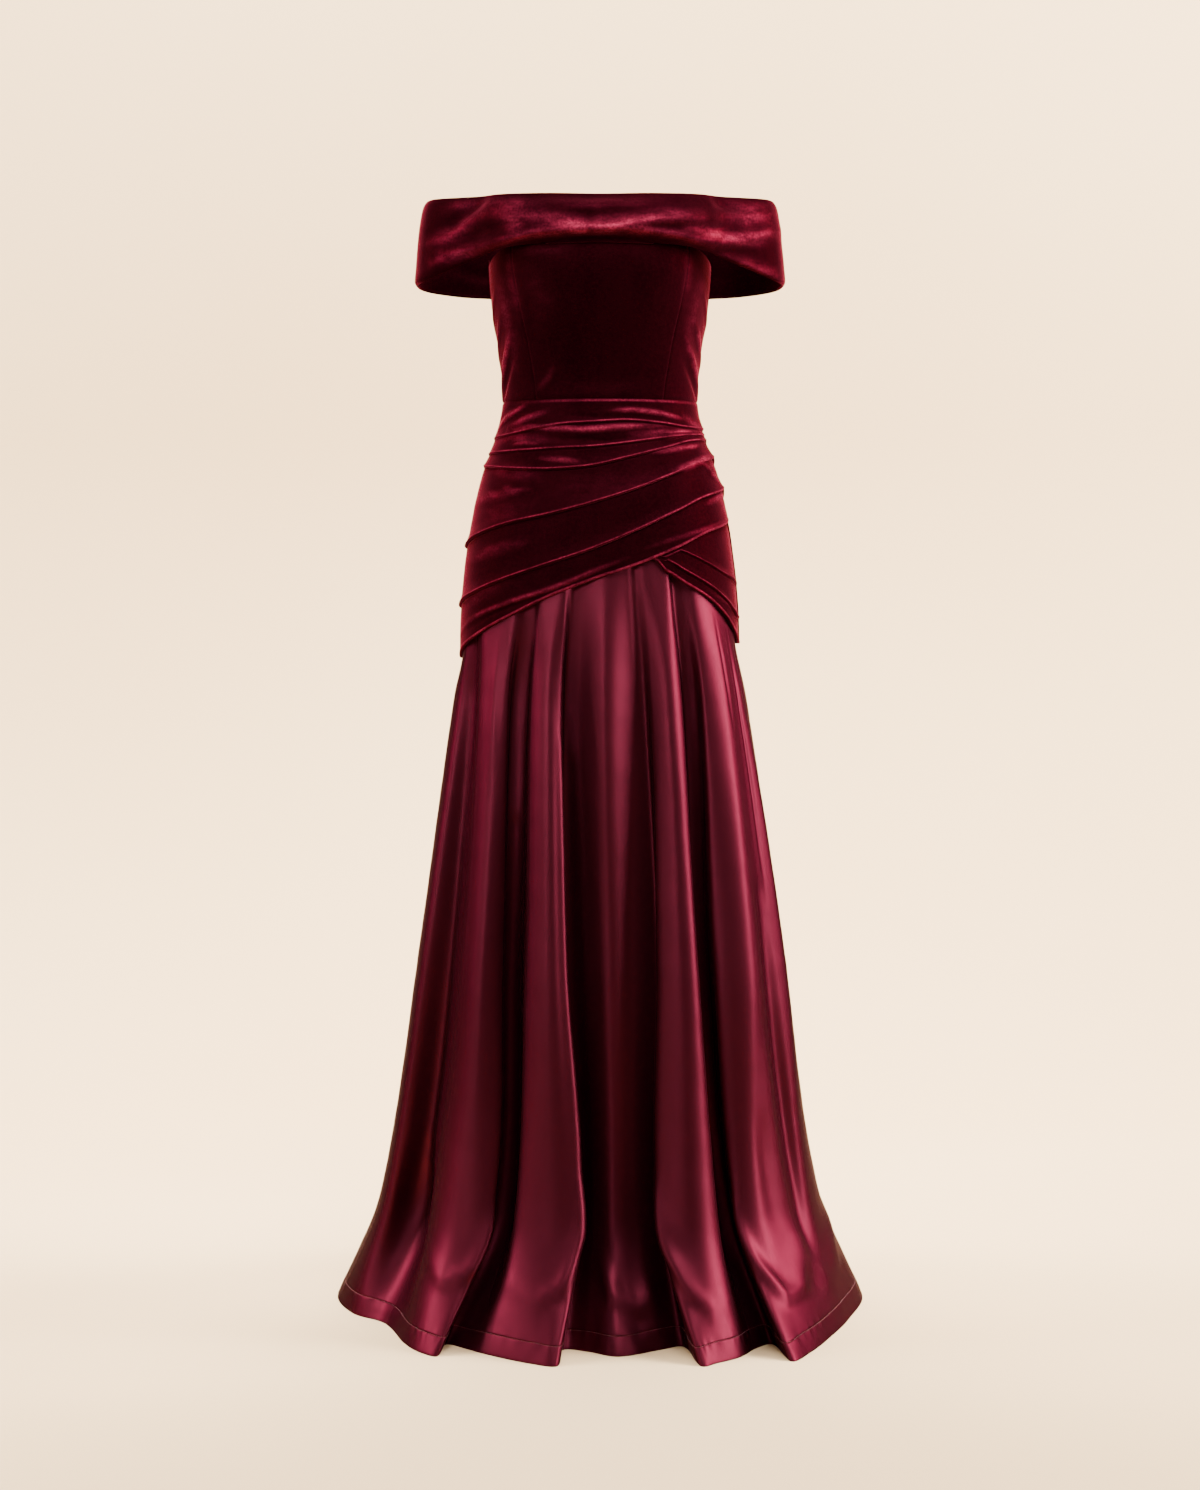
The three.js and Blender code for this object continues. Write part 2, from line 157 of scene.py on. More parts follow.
# Folds of the skirt: degrees and inset where it leaves the velvet, then x, y at each fold height
FOLD_HEIGHTS = [-371, -680, -985, FLOOR]
FOLDS = [
    [-90, 3.2, -184, 0, -227, 0, -275, 0, -333, 0],
    [-77, 3.6, -174, -40, -215, -64, -261, -80, -306, -96],
    [-70, 9.0, -157, -46, -184, -60, -224, -76, -268, -140],
    [-62, 3.2, -147, -82, -166, -120, -203, -160, -232, -232],
    [-53, 3.2, -129, -101, -143, -147, -171, -200, -212, -268],
    [-46, 3.2, -113, -105, -118, -135, -130, -202, -192, -286],
    [-42, 9.0, -106, -92, -117, -113, -132, -160, -182, -235],
    [-37, 9.0, -90, -95, -97, -114, -106, -162, -160, -252],
    [-33, 4.0, -82, -112, -87, -160, -100, -212, -131, -279],
    [-27, 3.2, -66, -126, -63, -178, -58, -235, -82, -315],
    [-20, 3.2, -48, -121, -43, -168, -24, -230, -51, -328],
    [-17, 10.0, -42, -102, -46, -121, -30, -164, -42, -257],
    [-12, 9.0, -27, -107, -18, -129, -8, -178, -14, -266],
    [4, 3.2, 6, -131, 12, -149, 17, -194, 21, -286],
    [16, 8.0, 40, -113, 41, -136, 43, -184, 72, -257],
    [20, 10.0, 54, -106, 71, -123, 74, -166, 97, -243],
    [25, 6.2, 64, -118, 69, -156, 71, -220, 119, -328],
    [32, 6.2, 84, -127, 98, -172, 112, -234, 136, -314],
    [38, 6.2, 98, -118, 116, -165, 139, -216, 163, -290],
    [42, 12.5, 103, -90, 117, -114, 141, -156, 186, -250],
    [46, 12.5, 116, -91, 129, -118, 157, -152, 204, -233],
    [51, 6.2, 127, -103, 141, -141, 165, -194, 224, -307],
    [60, 6.2, 153, -92, 182, -138, 192, -191, 248, -268],
    [69, 7.4, 167, -66, 205, -98, 238, -132, 274, -208],
    [79, 6.2, 179, -46, 225, -66, 261, -98, 306, -120],
    [90, 6.2, 184, 0, 227, 0, 275, 0, 333, 0],
    [106, 3.2, 172, 46, 210, 72, 248, 98, 292, 158],
    [118, 3.2, 158, 76, 186, 110, 210, 152, 262, 262],
    [130, 9.0, 124, 88, 140, 110, 165, 150, 205, 238],
    [138, 3.2, 112, 112, 124, 146, 150, 200, 176, 305],
    [150, 3.2, 86, 122, 92, 166, 104, 226, 120, 326],
    [158, 10.0, 58, 112, 60, 140, 70, 182, 92, 252],
    [166, 3.2, 46, 130, 46, 172, 50, 234, 56, 330],
    [178, 3.2, 8, 134, 6, 176, 4, 238, -6, 322],
    [188, 10.0, -26, 116, -30, 142, -34, 184, -42, 250],
    [196, 3.2, -44, 131, -50, 172, -58, 234, -70, 334],
    [206, 3.2, -76, 124, -88, 160, -104, 216, -128, 306],
    [216, 9.0, -98, 100, -112, 124, -132, 164, -160, 236],
    [226, 3.2, -120, 108, -138, 142, -162, 192, -206, 298],
    [240, 3.2, -146, 86, -170, 114, -202, 150, -256, 238],
    [254, 6.0, -164, 52, -196, 66, -236, 86, -290, 140],
]
FRONT_FOLDS = 25

# Band stations: x, y, z of the top edge, the middle and the lower edge, then the tuck in and down
BAND = [
    [0, -114, 241, 0, -128, 219, 0, -131, 197, 15, 12],
    [56, -112, 242, 57, -126, 218, 57, -128, 194, 15, 10],
    [100, -102, 243, 106, -113, 215, 105, -113, 187, 12, 4],
    [128, -84, 245, 134, -93, 212, 131, -92, 179, 4, 1],
    [143, -68, 246, 150, -76, 207, 149, -76, 172, 3, 0.5],
    [174, -50, 247, 180, -56, 203, 183, -57, 160, 3, 0.5],
    [208, -24, 248, 217, -28, 198, 221, -29, 147, 3, 0.5],
    [217, 14, 248, 226, 14, 198, 230, 14, 145, 3, 0.5],
    [208, 48, 247, 216, 50, 197, 220, 51, 142, 3, 0.5],
    [170, 70, 246, 177, 72, 195, 180, 73, 138, 3, 0.5],
    [120, 82, 245, 124, 84, 193, 126, 82, 136, 3, 0.5],
    [60, 95, 244, 62, 96, 192, 63, 94, 135, 3, 0.5],
    [0, 99, 244, 0, 99, 192, 0, 97, 134, 3, 0.5],
]
BAND_ARM = 7

# Creases laid on, as listed: the points of the line, its half width and its height (below 0: a
# trough).
# Painted highlights are laid on alike, strips where the base colour is lightened to stand in for the
# pile's sheen: points, half width and strength.
# Bodice: points are (degrees, height)
BODICE_CREASES = [
    [[(-88, 2), (-76, 32), (-65, 62), (-57, 92)], 5.5, 2.6],
    [[(-80, 2), (-69, 30), (-60, 55)], 5.0, -1.8],
    [[(-89, 46), (-76, 76), (-66, 104)], 5.0, 1.8],
    [[(-89, 84), (-78, 112), (-70, 132)], 5.0, 1.2],
    [[(88, 3), (74, 34), (62, 60), (56, 78)], 5.5, 2.4],
    [[(82, 0), (69, 26), (58, 48)], 5.0, -1.8],
    [[(89, 38), (74, 66), (64, 92)], 5.0, 2.0],
    [[(89, 86), (78, 106), (70, 126)], 5.0, 1.4],
    [[(-46, 8), (-36, 26), (-30, 44)], 6.0, 0.8],
    [[(120, 4), (134, 40), (144, 76)], 7.0, 1.8],
    [[(146, 6), (156, 44), (162, 82)], 7.0, 1.3],
    [[(-122, 5), (-135, 44), (-146, 80)], 7.0, 1.8],
    [[(-150, 4), (-158, 46), (-165, 74)], 7.0, 1.2],
]
# Bodice strips of painted highlight
BODICE_PAINTED_HIGHLIGHTS = [
    [[(-53, 172), (-52, 140), (-50, 100)], 7.0, 0.11],
    [[(-67, 160), (-62, 120), (-60, 80), (-62, 44)], 10.0, 0.14],
    [[(-47, 178), (-36, 177), (-18, 180)], 6.0, 0.09],
    [[(50, 176), (52, 150), (50, 118)], 6.0, 0.08],
    [[(65, 150), (60, 110), (62, 60)], 10.0, 0.12],
    [[(-40, 150), (-34, 120), (-38, 90)], 12.0, 0.04],
    [[(-30, 16), (0, 12), (30, 16)], 8.0, 0.03],
    [[(110, 150), (124, 110), (120, 60)], 12.0, 0.12],
    [[(-110, 150), (-122, 112), (-118, 60)], 12.0, 0.12],
]
# Hip: points are (degrees, height)
# Hip strips of painted highlight
HIP_PAINTED_HIGHLIGHTS = [
    [[(60, -22), (72, -30), (84, -44)], 5.0, 0.28],
    [[(70, -62), (80, -84), (86, -110)], 8.0, 0.26],
    [[(74, -120), (82, -140)], 6.0, 0.18],
    [[(20, -44), (44, -41), (64, -40)], 4.5, 0.22],
    [[(-74, -84), (-58, -88), (-38, -92)], 8.0, 0.13],
    [[(-80, -52), (-60, -46), (-30, -50)], 5.0, 0.16],
    [[(-84, -272), (-70, -246), (-50, -222)], 7.0, 0.12],
    [[(-30, -112), (0, -104), (30, -96)], 14.0, 0.04],
    [[(-78, -150), (-60, -140), (-40, -134)], 12.0, 0.07],
]
HIP_CREASES = [
    [[(-52, -6), (-66, -18), (-78, -34)], 3.4, 2.0],
    [[(-58, -4), (-74, -16), (-86, -30)], 3.4, -1.4],
    [[(-36, -14), (-50, -22), (-64, -32)], 4.0, 2.0],
    [[(6, -15), (24, -14), (42, -17), (60, -24)], 3.4, 2.2],
    [[(-30, -20), (0, -24), (30, -24), (54, -32)], 4.0, -1.6],
    [
        [(-64, -38), (-48, -34), (-30, -36), (-12, -38), (6, -36), (22, -34), (44, -32), (54, -34)],
        4.0, 2.2,
    ],
    [[(-64, -50), (-46, -47), (-24, -50), (4, -52), (30, -46)], 4.0, -1.8],
    [[(36, -42), (54, -39), (74, -37)], 2.6, 2.0],
    [[(-58, -54), (-48, -52), (-38, -54)], 3.4, 1.8],
    [[(-40, -72), (-26, -74), (-12, -78)], 4.0, 1.4],
    [[(34, -66), (50, -60), (70, -54)], 3.4, 2.0],
    [[(44, -88), (60, -76), (80, -64)], 4.4, 2.4],
    [[(48, -104), (64, -92), (80, -78)], 4.0, -1.6],
    [[(66, -76), (72, -90), (80, -100)], 5.0, 1.8],
    [[(-80, -94), (-62, -100), (-46, -98)], 6.0, -1.2],
    [[(-84, -128), (-66, -118), (-50, -116)], 6.0, 1.4],
    [[(-60, -104), (-50, -112), (-38, -108)], 4.0, 1.0],
    [[(60, -128), (76, -116), (88, -112)], 4.0, 1.8],
    [[(-84, -200), (-60, -186), (-36, -170)], 9.0, 1.0],
    [[(-82, -290), (-66, -265), (-46, -246), (-24, -228), (-4, -210), (16, -193)], 3.4, 1.8],
    [[(-70, -280), (-52, -257), (-36, -243)], 3.0, -1.2],
    [[(20, -186), (44, -168), (70, -150), (86, -138)], 4.0, 0.9],
    [[(100, -58), (120, -70), (150, -84), (176, -94)], 4.5, 1.8],
    [[(100, -90), (124, -116), (152, -136)], 5.0, 1.8],
    [[(196, -168), (226, -182), (258, -198)], 5.0, 1.8],
    [[(200, -110), (230, -112), (262, -104)], 5.0, 1.6],
    [[(104, -280), (140, -286), (178, -292), (220, -298), (258, -302)], 4.0, 1.2],
]
# Under-wrap: points are (degrees, height)
UNDER_CREASES = [
    [[(60, -194), (74, -206), (88, -214)], 3.0, 1.2],
    [[(56, -232), (70, -250), (86, -276)], 3.0, 0.8],
]
# Band: points are (x, height), front and back
BAND_FRONT_CREASES = [
    [[(-140, 246), (-156, 232), (-178, 216), (-204, 206)], 8.0, -4.5],
    [[(-124, 240), (-146, 222), (-170, 204), (-204, 190)], 9.0, 3.0],
    [[(-202, 176), (-178, 178), (-150, 184), (-120, 189), (-88, 194)], 6.0, 3.6],
    [[(-196, 194), (-156, 200), (-118, 206), (-76, 208)], 7.0, -2.6],
    [[(-96, 216), (-74, 206), (-50, 199)], 9.0, 1.2],
    [[(-84, 198), (-48, 198), (0, 199), (48, 206), (100, 214), (128, 217)], 7.0, 4.0],
    [[(-60, 224), (-10, 216), (40, 221), (92, 231)], 8.0, -3.0],
    [[(60, 203), (100, 203), (140, 204), (180, 216)], 6.0, -2.6],
    [[(92, 196), (122, 190), (146, 188), (172, 194), (196, 202), (218, 212)], 8.0, 4.6],
    [[(124, 181), (156, 176), (196, 178)], 7.0, -2.6],
    [[(136, 180), (160, 171), (190, 158), (222, 144)], 6.0, 2.6],
    [[(134, 248), (150, 237), (172, 229)], 7.0, -3.4],
    [[(150, 226), (176, 222), (204, 230)], 7.0, 2.2],
    [[(-214, 158), (-196, 166), (-176, 171)], 5.0, 1.6],
]
# Band front strips of painted highlight
BAND_FRONT_PAINTED_HIGHLIGHTS = [
    [[(-96, 217), (-62, 211), (-16, 202), (34, 207), (75, 215), (121, 218)], 7.5, 0.48],
    [[(-141, 181), (-104, 190), (-62, 196), (-16, 199), (34, 198), (84, 194), (134, 186)], 5.5, 0.46],
    [[(109, 203), (134, 198), (166, 194), (191, 198), (216, 208)], 7.5, 0.50],
    [[(-136, 228), (-116, 233), (-86, 234)], 15.0, 0.22],
    [[(-112, 224), (-106, 208), (-98, 196)], 10.0, 0.30],
    [[(-206, 172), (-176, 176), (-146, 182)], 7.0, 0.36],
    [[(-150, 222), (-172, 206), (-206, 194)], 9.0, 0.30],
    [[(-190, 236), (-160, 240), (-130, 244)], 7.0, 0.22],
    [[(150, 242), (178, 238), (206, 240)], 7.0, 0.26],
    [[(150, 222), (184, 222), (214, 228)], 9.0, 0.26],
    [[(150, 166), (190, 158), (222, 148)], 9.0, 0.30],
    [[(-60, 236), (0, 232), (70, 236)], 12.0, 0.06],
]
BAND_BACK_CREASES = [
    [[(-190, 220), (-120, 204), (-40, 190), (30, 184)], 10.0, 3.0],
    [[(20, 226), (90, 214), (150, 212), (200, 224)], 9.0, 3.0],
    [[(-60, 166), (20, 160), (110, 168), (180, 160)], 10.0, 2.4],
    [[(-200, 176), (-150, 164), (-90, 156)], 9.0, 2.2],
]
# Skirt: points are (fold number, height)
SKIRT_CREASES = [
    [[(5.5, -268), (5.4, -330), (5.4, -420), (5.5, -520)], 2.2, -1.8],
    [[(4.1, -275), (4.0, -350), (4.0, -460)], 6.0, 1.8],
    [[(2.4, -300), (2.3, -380), (2.4, -520)], 4.0, -1.2],
    [[(22.2, -255), (22.3, -320), (22.4, -400)], 2.2, -1.6],
    [[(23.2, -270), (23.3, -340), (23.4, -440), (23.4, -620)], 2.4, -1.8],
    [[(23.8, -285), (23.9, -330), (24.0, -380)], 2.0, -1.4],
    [[(9.3, -240), (9.3, -360), (9.4, -620), (9.4, -900)], 6.0, 1.2],
    [[(13.1, -1040), (13.3, -1085), (13.7, -1118)], 7.0, -4.0],
    [[(13.9, -1030), (14.0, -1080), (13.8, -1120)], 6.0, 3.0],
    [[(12.4, -1030), (12.9, -1064), (13.6, -1080), (14.2, -1060)], 7.0, 5.0],
    [[(15.9, -940), (16.1, -1010), (16.6, -1056), (17.2, -1072), (17.8, -1070)], 6.0, 6.5],
    [[(8.2, -1052), (8.9, -1062), (9.6, -1048), (10.0, -990), (10.1, -940)], 6.0, 6.5],
    [[(3.4, -1036), (4.1, -1050), (4.8, -1040), (5.1, -970)], 6.0, 6.0],
    [[(20.9, -970), (21.3, -1030), (21.9, -1066), (22.5, -1064), (22.8, -1020)], 6.5, 7.5],
    [[(2.0, -930), (2.0, -1000), (2.1, -1120)], 14.0, -14.0],
    [[(22.7, -1000), (23.2, -1050), (23.8, -1082)], 7.0, 4.0],
    [[(24.9, -1010), (24.4, -1040), (24.1, -1075)], 6.0, 4.0],
    [[(9.95, -420), (9.95, -700), (9.95, -1000)], 5.5, 4.5],
    [[(6.5, -520), (6.5, -700), (6.5, -900), (6.5, -1110)], 9.0, -12.0],
    [[(11.3, -450), (11.3, -700), (11.3, -900), (11.3, -1110)], 12.0, -10.0],
    [[(23.0, -600), (23.1, -780), (23.2, -880), (23.25, -960), (23.2, -1070)], 6.5, -8.0],
    [[(22.5, -780), (22.55, -860), (22.65, -940), (22.8, -1010)], 5.0, 4.0],
    [[(24.0, -400), (24.0, -600), (24.0, -860)], 7.0, 3.0],
    [[(22.3, -870), (22.35, -930), (22.4, -1000)], 4.0, -3.0],
    [[(27.4, -330), (27.5, -460), (27.5, -700)], 5.0, 2.0],
    [[(30.4, -325), (30.5, -480), (30.4, -760)], 6.0, 2.0],
    [[(33.5, -325), (33.4, -450), (33.5, -700)], 6.0, -2.0],
    [[(36.4, -325), (36.5, -500), (36.4, -800)], 5.0, 2.0],
    [[(39.5, -330), (39.4, -450), (39.5, -640)], 5.0, -1.8],
]


# Reading of tables and lines

def read(table, at):
    """Smooth reading, at each value of an array, of a table whose first column falls."""
    table = np.array(table, float)
    keys = table[:, 0]
    at = np.clip(np.asarray(at, float), keys[-1], keys[0])
    last = len(keys) - 1
    i = np.clip(np.searchsorted(-keys, -at, side="right") - 1, 0, last - 1)
    a, b = table[i], table[i + 1]
    before, after = table[np.maximum(i - 1, 0)], table[np.minimum(i + 2, last)]
    span = b[..., :1] - a[..., :1]
    u = (at[..., None] - a[..., :1]) / span
    plain = (b - a) / span
    first, final = (i == 0)[..., None], (i + 2 > last)[..., None]
    with np.errstate(divide="ignore", invalid="ignore"):
        m0 = np.where(first, plain, (b - before) / (b[..., :1] - before[..., :1]))
        m1 = np.where(final, plain, (after - a) / (after[..., :1] - a[..., :1]))
    value = a * (2 * u**3 - 3 * u**2 + 1) + m0 * span * (u**3 - 2 * u**2 + u)
    value = value + b * (3 * u**2 - 2 * u**3) + m1 * span * (u**3 - u**2)
    return value[..., 1:]


def closed_curve(points, u):
    """Closed centripetal curve through points (n, ..., 3), read at positions u in rows of points."""
    n = len(points)
    i = np.floor(u).astype(int) % n
    t = (u - np.floor(u)).reshape((-1,) + (1,) * (points.ndim - 1))
    p0, p1, p2, p3 = (points[(i + k) % n] for k in (-1, 0, 1, 2))

    def reach_of(a, b):
        return np.maximum(np.sum((b - a) ** 2, axis=-1, keepdims=True) ** 0.25, 1e-4)

    d0, d1, d2 = reach_of(p0, p1), reach_of(p1, p2), reach_of(p2, p3)
    t1 = ((p1 - p0) / d0 - (p2 - p0) / (d0 + d1) + (p2 - p1) / d1) * d1
    t2 = ((p2 - p1) / d1 - (p3 - p1) / (d1 + d2) + (p3 - p2) / d2) * d1
    c2 = -3 * p1 + 3 * p2 - 2 * t1 - t2
    c3 = 2 * p1 - 2 * p2 + t1 + t2
    return p1 + t1 * t + c2 * t**2 + c3 * t**3


def relief(x, y, creases, across=1.0):
    """Height of hand-laid creases at places (x, y); x is scaled by across to be in millimetres."""
    total = np.zeros_like(x, dtype=float)
    for points, width, height in creases:
        best = np.full(x.shape, 1e9)
        along = np.zeros_like(best)
        line = [(px * across, py) for px, py in points]
        lengths = [math.dist(a, b) for a, b in zip(line, line[1:])]
        run, whole = 0.0, sum(lengths)
        for (ax, ay), (bx, by), length in zip(line, line[1:], lengths):
            dx, dy = bx - ax, by - ay
            t = np.clip(((x * across - ax) * dx + (y - ay) * dy) / length**2, 0, 1)
            far = np.hypot(x * across - ax - t * dx, y - ay - t * dy)
            nearer = far < best
            best = np.where(nearer, far, best)
            along = np.where(nearer, (run + t * length) / whole, along)
            run += length
        fade = np.clip(np.sin(np.clip(along, 0.04, 0.96) * math.pi), 0, 1) ** 0.6
        total += height * np.exp(-((best / width) ** 2)) * fade
    return total


def lengths_of(line):
    """Length of a line of points from its start to each of them."""
    steps = np.linalg.norm(np.diff(line, axis=0), axis=-1)
    return np.concatenate([[0], np.cumsum(steps)])


def read_along(line, lengths, places):
    """A line of points read at places along its length."""
    return np.stack([np.interp(places, lengths, line[:, k]) for k in range(3)], axis=-1)


def waves(x, y, seed, size):
    """Soft uneven swell of the cloth, as a sum of a few long waves."""
    rng = np.random.default_rng(seed)
    total = np.zeros_like(x, dtype=float)
    for _ in range(WAVES):
        turn, phase = rng.uniform(0, math.tau, 2)
        wave = size * rng.uniform(0.6, 1.8)
        total += np.sin((x * math.cos(turn) + y * math.sin(turn)) * math.tau / wave + phase)
    return total / WAVES


# Meshes

SHARP_ANGLE = 48


def normals_of(grid, outward):
    """Unit normals of a grid (columns, rows, 3), turned to the side that outward points to."""
    across = np.gradient(grid, axis=0)
    down = np.gradient(grid, axis=1)
    normal = np.cross(down, across)
    normal /= np.maximum(np.linalg.norm(normal, axis=-1, keepdims=True), 1e-9)
    return normal * np.sign(np.sum(np.sum(normal * outward, axis=-1)))


def put(name, data):
    """A new object in the scene."""
    thing = bpy.data.objects.new(name, data)
    bpy.context.scene.collection.objects.link(thing)
    return thing


def put_mesh(name, verts, faces, material):
    """A new object with a smooth mesh."""
    mesh = bpy.data.meshes.new(name)
    mesh.from_pydata(verts, [], faces)
    mesh.shade_smooth()
    mesh.materials.append(material)
    return put(name, mesh)


def cloth(name, outer, inner, material, node, painted_highlight=None):
    """Closed thin wall between two grids of points in millimetres, riding on its node's body.

    The optional mask says at each point how strongly a painted highlight lightens the base colour.
    """
    cols, rows = outer.shape[:2]
    points = np.concatenate([outer.reshape(-1, 3), inner.reshape(-1, 3)]) * MM
    index = np.arange(cols * rows).reshape(cols, rows)
    back = index + cols * rows

    def quads(*corners):
        return np.stack([corner.ravel() for corner in corners], axis=1)

    faces = np.concatenate([
        quads(index[:-1, :-1], index[:-1, 1:], index[1:, 1:], index[1:, :-1]),
        quads(back[:-1, :-1], back[1:, :-1], back[1:, 1:], back[:-1, 1:]),
        quads(index[:-1, 0], index[1:, 0], back[1:, 0], back[:-1, 0]),
        quads(index[:-1, -1], back[:-1, -1], back[1:, -1], index[1:, -1]),
        quads(index[0, :-1], back[0, :-1], back[0, 1:], index[0, 1:]),
        quads(index[-1, :-1], index[-1, 1:], back[-1, 1:], back[-1, :-1]),
    ])
    piece = put_mesh(name, points.tolist(), faces.tolist(), material)
    mesh = piece.data
    step_u = np.linalg.norm(np.diff(outer, axis=0), axis=-1).mean(axis=1)
    step_v = np.linalg.norm(np.diff(outer, axis=1), axis=-1)
    u = np.concatenate([[0], np.cumsum(step_u)]) * MM
    v = np.concatenate([np.zeros((cols, 1)), np.cumsum(step_v, axis=1)], axis=1) * MM
    place = np.stack([np.repeat(u[:, None], rows, axis=1), v], axis=-1).reshape(-1, 2)
    place = np.concatenate([place, place])
    layer = mesh.uv_layers.new(name="cloth")
    corner = np.zeros(len(mesh.loops), dtype=np.int32)
    mesh.loops.foreach_get("vertex_index", corner)
    layer.data.foreach_set("uv", place[corner].ravel())
    if painted_highlight is not None:
        # The painted highlight mask, kept on the mesh for the velvet's colour
        painted_shine = mesh.attributes.new("painted_highlight", "FLOAT", "POINT")
        both = np.concatenate([painted_highlight.ravel(), 0 * painted_highlight.ravel()])
        painted_shine.data.foreach_set("value", both.astype(np.float32))
    mesh.set_sharp_from_angle(angle=math.radians(SHARP_ANGLE))
    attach(piece, "root")
    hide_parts(node)
    return piece


def rolled(distance, depth, width):
    """How far cloth turns in beside a seam, at each distance from it."""
    return -depth * np.exp(-((distance / width) ** 2))


def painted_highlight_of(lift):
    """Strength of the painted highlight along crease ridges, from the height of the creases under it.
    """
    return np.clip((lift - 0.3) / 2.4, 0, 1) ** 1.2


# Materials

class Paint:
    """A material's nodes, made and linked by short calls."""

    def __init__(self, name):
        self.material = bpy.data.materials.new(name)
        self.material.use_nodes = True
        self.tree = self.material.node_tree
        self.shader = self.tree.nodes["Principled BSDF"]

    def node(self, kind, links=(), **values):
        node = self.tree.nodes.new(kind)
        for key, value in values.items():
            if hasattr(node, key):
                setattr(node, key, value)
            else:
                node.inputs[key.replace("_", " ")].default_value = value
        for socket, source in dict(links).items():
            self.tree.links.new(source, node.inputs[socket])
        return node

    def set(self, **values):
        for key, value in values.items():
            self.shader.inputs[key.replace("_", " ")].default_value = value

    def link(self, socket, source):
        self.tree.links.new(source, self.shader.inputs[socket])

    def ramp(self, source, *stops):
        ramp = self.node("ShaderNodeValToRGB", {"Fac": source})
        while len(ramp.color_ramp.elements) < len(stops):
            ramp.color_ramp.elements.new(0.5)
        for element, (place, colour) in zip(ramp.color_ramp.elements, stops):
            element.position = place
            element.color = (*colour, 1)
        return ramp.outputs["Color"]

    def noise(self, vector, scale, detail=2.0):
        texture = self.node("ShaderNodeTexNoise", {"Vector": vector}, Scale=scale, Detail=detail)
        return texture.outputs["Fac"]

    def spread(self, source, low, high):
        """The middle of a noise's range read as values from low to high."""
        reading = self.node("ShaderNodeMapRange", {"Value": source})
        for key, value in (("From Min", 0.3), ("From Max", 0.7), ("To Min", low), ("To Max", high)):
            reading.inputs[key].default_value = value
        return reading.outputs["Result"]

    def arithmetic(self, operation, *sources):
        inputs = dict(enumerate(sources))
        return self.node("ShaderNodeMath", inputs, operation=operation).outputs[0]

    def bump(self, height, strength, distance, under=None):
        links = {"Height": height}
        if under is not None:
            links["Normal"] = under
        node = self.node("ShaderNodeBump", links, Strength=strength, Distance=distance)
        return node.outputs["Normal"]

    def stretched(self, vector, scale):
        mapping = self.node("ShaderNodeMapping", {"Vector": vector})
        mapping.inputs["Scale"].default_value = scale
        return mapping.outputs["Vector"]


# Sockets of a colour mix
COLOUR_A, COLOUR_B, COLOUR_OUT = 6, 7, 2


def velvet_material():
    """Dark pile whose base colour a painted highlight lightens where the mesh's mask asks for it."""
    paint = Paint("burgundy_velvet")
    place = paint.node("ShaderNodeTexCoord").outputs["Object"]
    stroke = paint.noise(paint.stretched(place, (22, 22, 9)), 1.0, 4.0)
    pile = paint.noise(place, 900.0, 3.0)
    clump = paint.noise(place, 260.0, 2.0)
    shade = paint.ramp(
        paint.arithmetic("MULTIPLY_ADD", clump, clump, stroke),
        (0.40, (0.0034, 0.0002, 0.0006)),
        (0.62, (0.0046, 0.0002, 0.0008)),
        (0.85, (0.0066, 0.0004, 0.0011)),
    )
    # Painted highlight: a mask on the mesh, broken up by streaks and grain, mixes a lighter colour
    # into the base colour
    painted_highlight = paint.node("ShaderNodeAttribute", attribute_name="painted_highlight").outputs["Fac"]
    streak = paint.spread(paint.noise(paint.stretched(place, (45, 45, 110)), 1.0, 5.0), 0.25, 1.15)
    grain = paint.spread(paint.noise(place, 360.0, 4.0), 0.45, 1.5)
    painted_highlight_mix = paint.node("ShaderNodeMix", data_type="RGBA")
    painted_highlight_amount = paint.arithmetic("MULTIPLY", paint.arithmetic("MULTIPLY", painted_highlight, streak), grain)
    paint.tree.links.new(painted_highlight_amount, painted_highlight_mix.inputs["Factor"])
    paint.tree.links.new(shade, painted_highlight_mix.inputs[COLOUR_A])
    # Colour of the painted highlight
    painted_highlight_mix.inputs[COLOUR_B].default_value = (0.180, 0.0125, 0.0335, 1)
    paint.link("Base Color", painted_highlight_mix.outputs[COLOUR_OUT])
    paint.link("Roughness", paint.spread(stroke, 0.42, 0.52))
    paint.set(Specular_Tint=(0.055, 0.012, 0.020, 1))
    paint.set(Metallic=0.35, Specular_IOR_Level=0.0, Sheen_Weight=0.75, Sheen_Roughness=0.36)
    paint.set(Sheen_Tint=(0.31, 0.028, 0.056, 1))
    coarse = paint.bump(clump, 0.35, 0.0006)
    paint.link("Normal", paint.bump(pile, 0.5, 0.0004, coarse))
    return paint.material


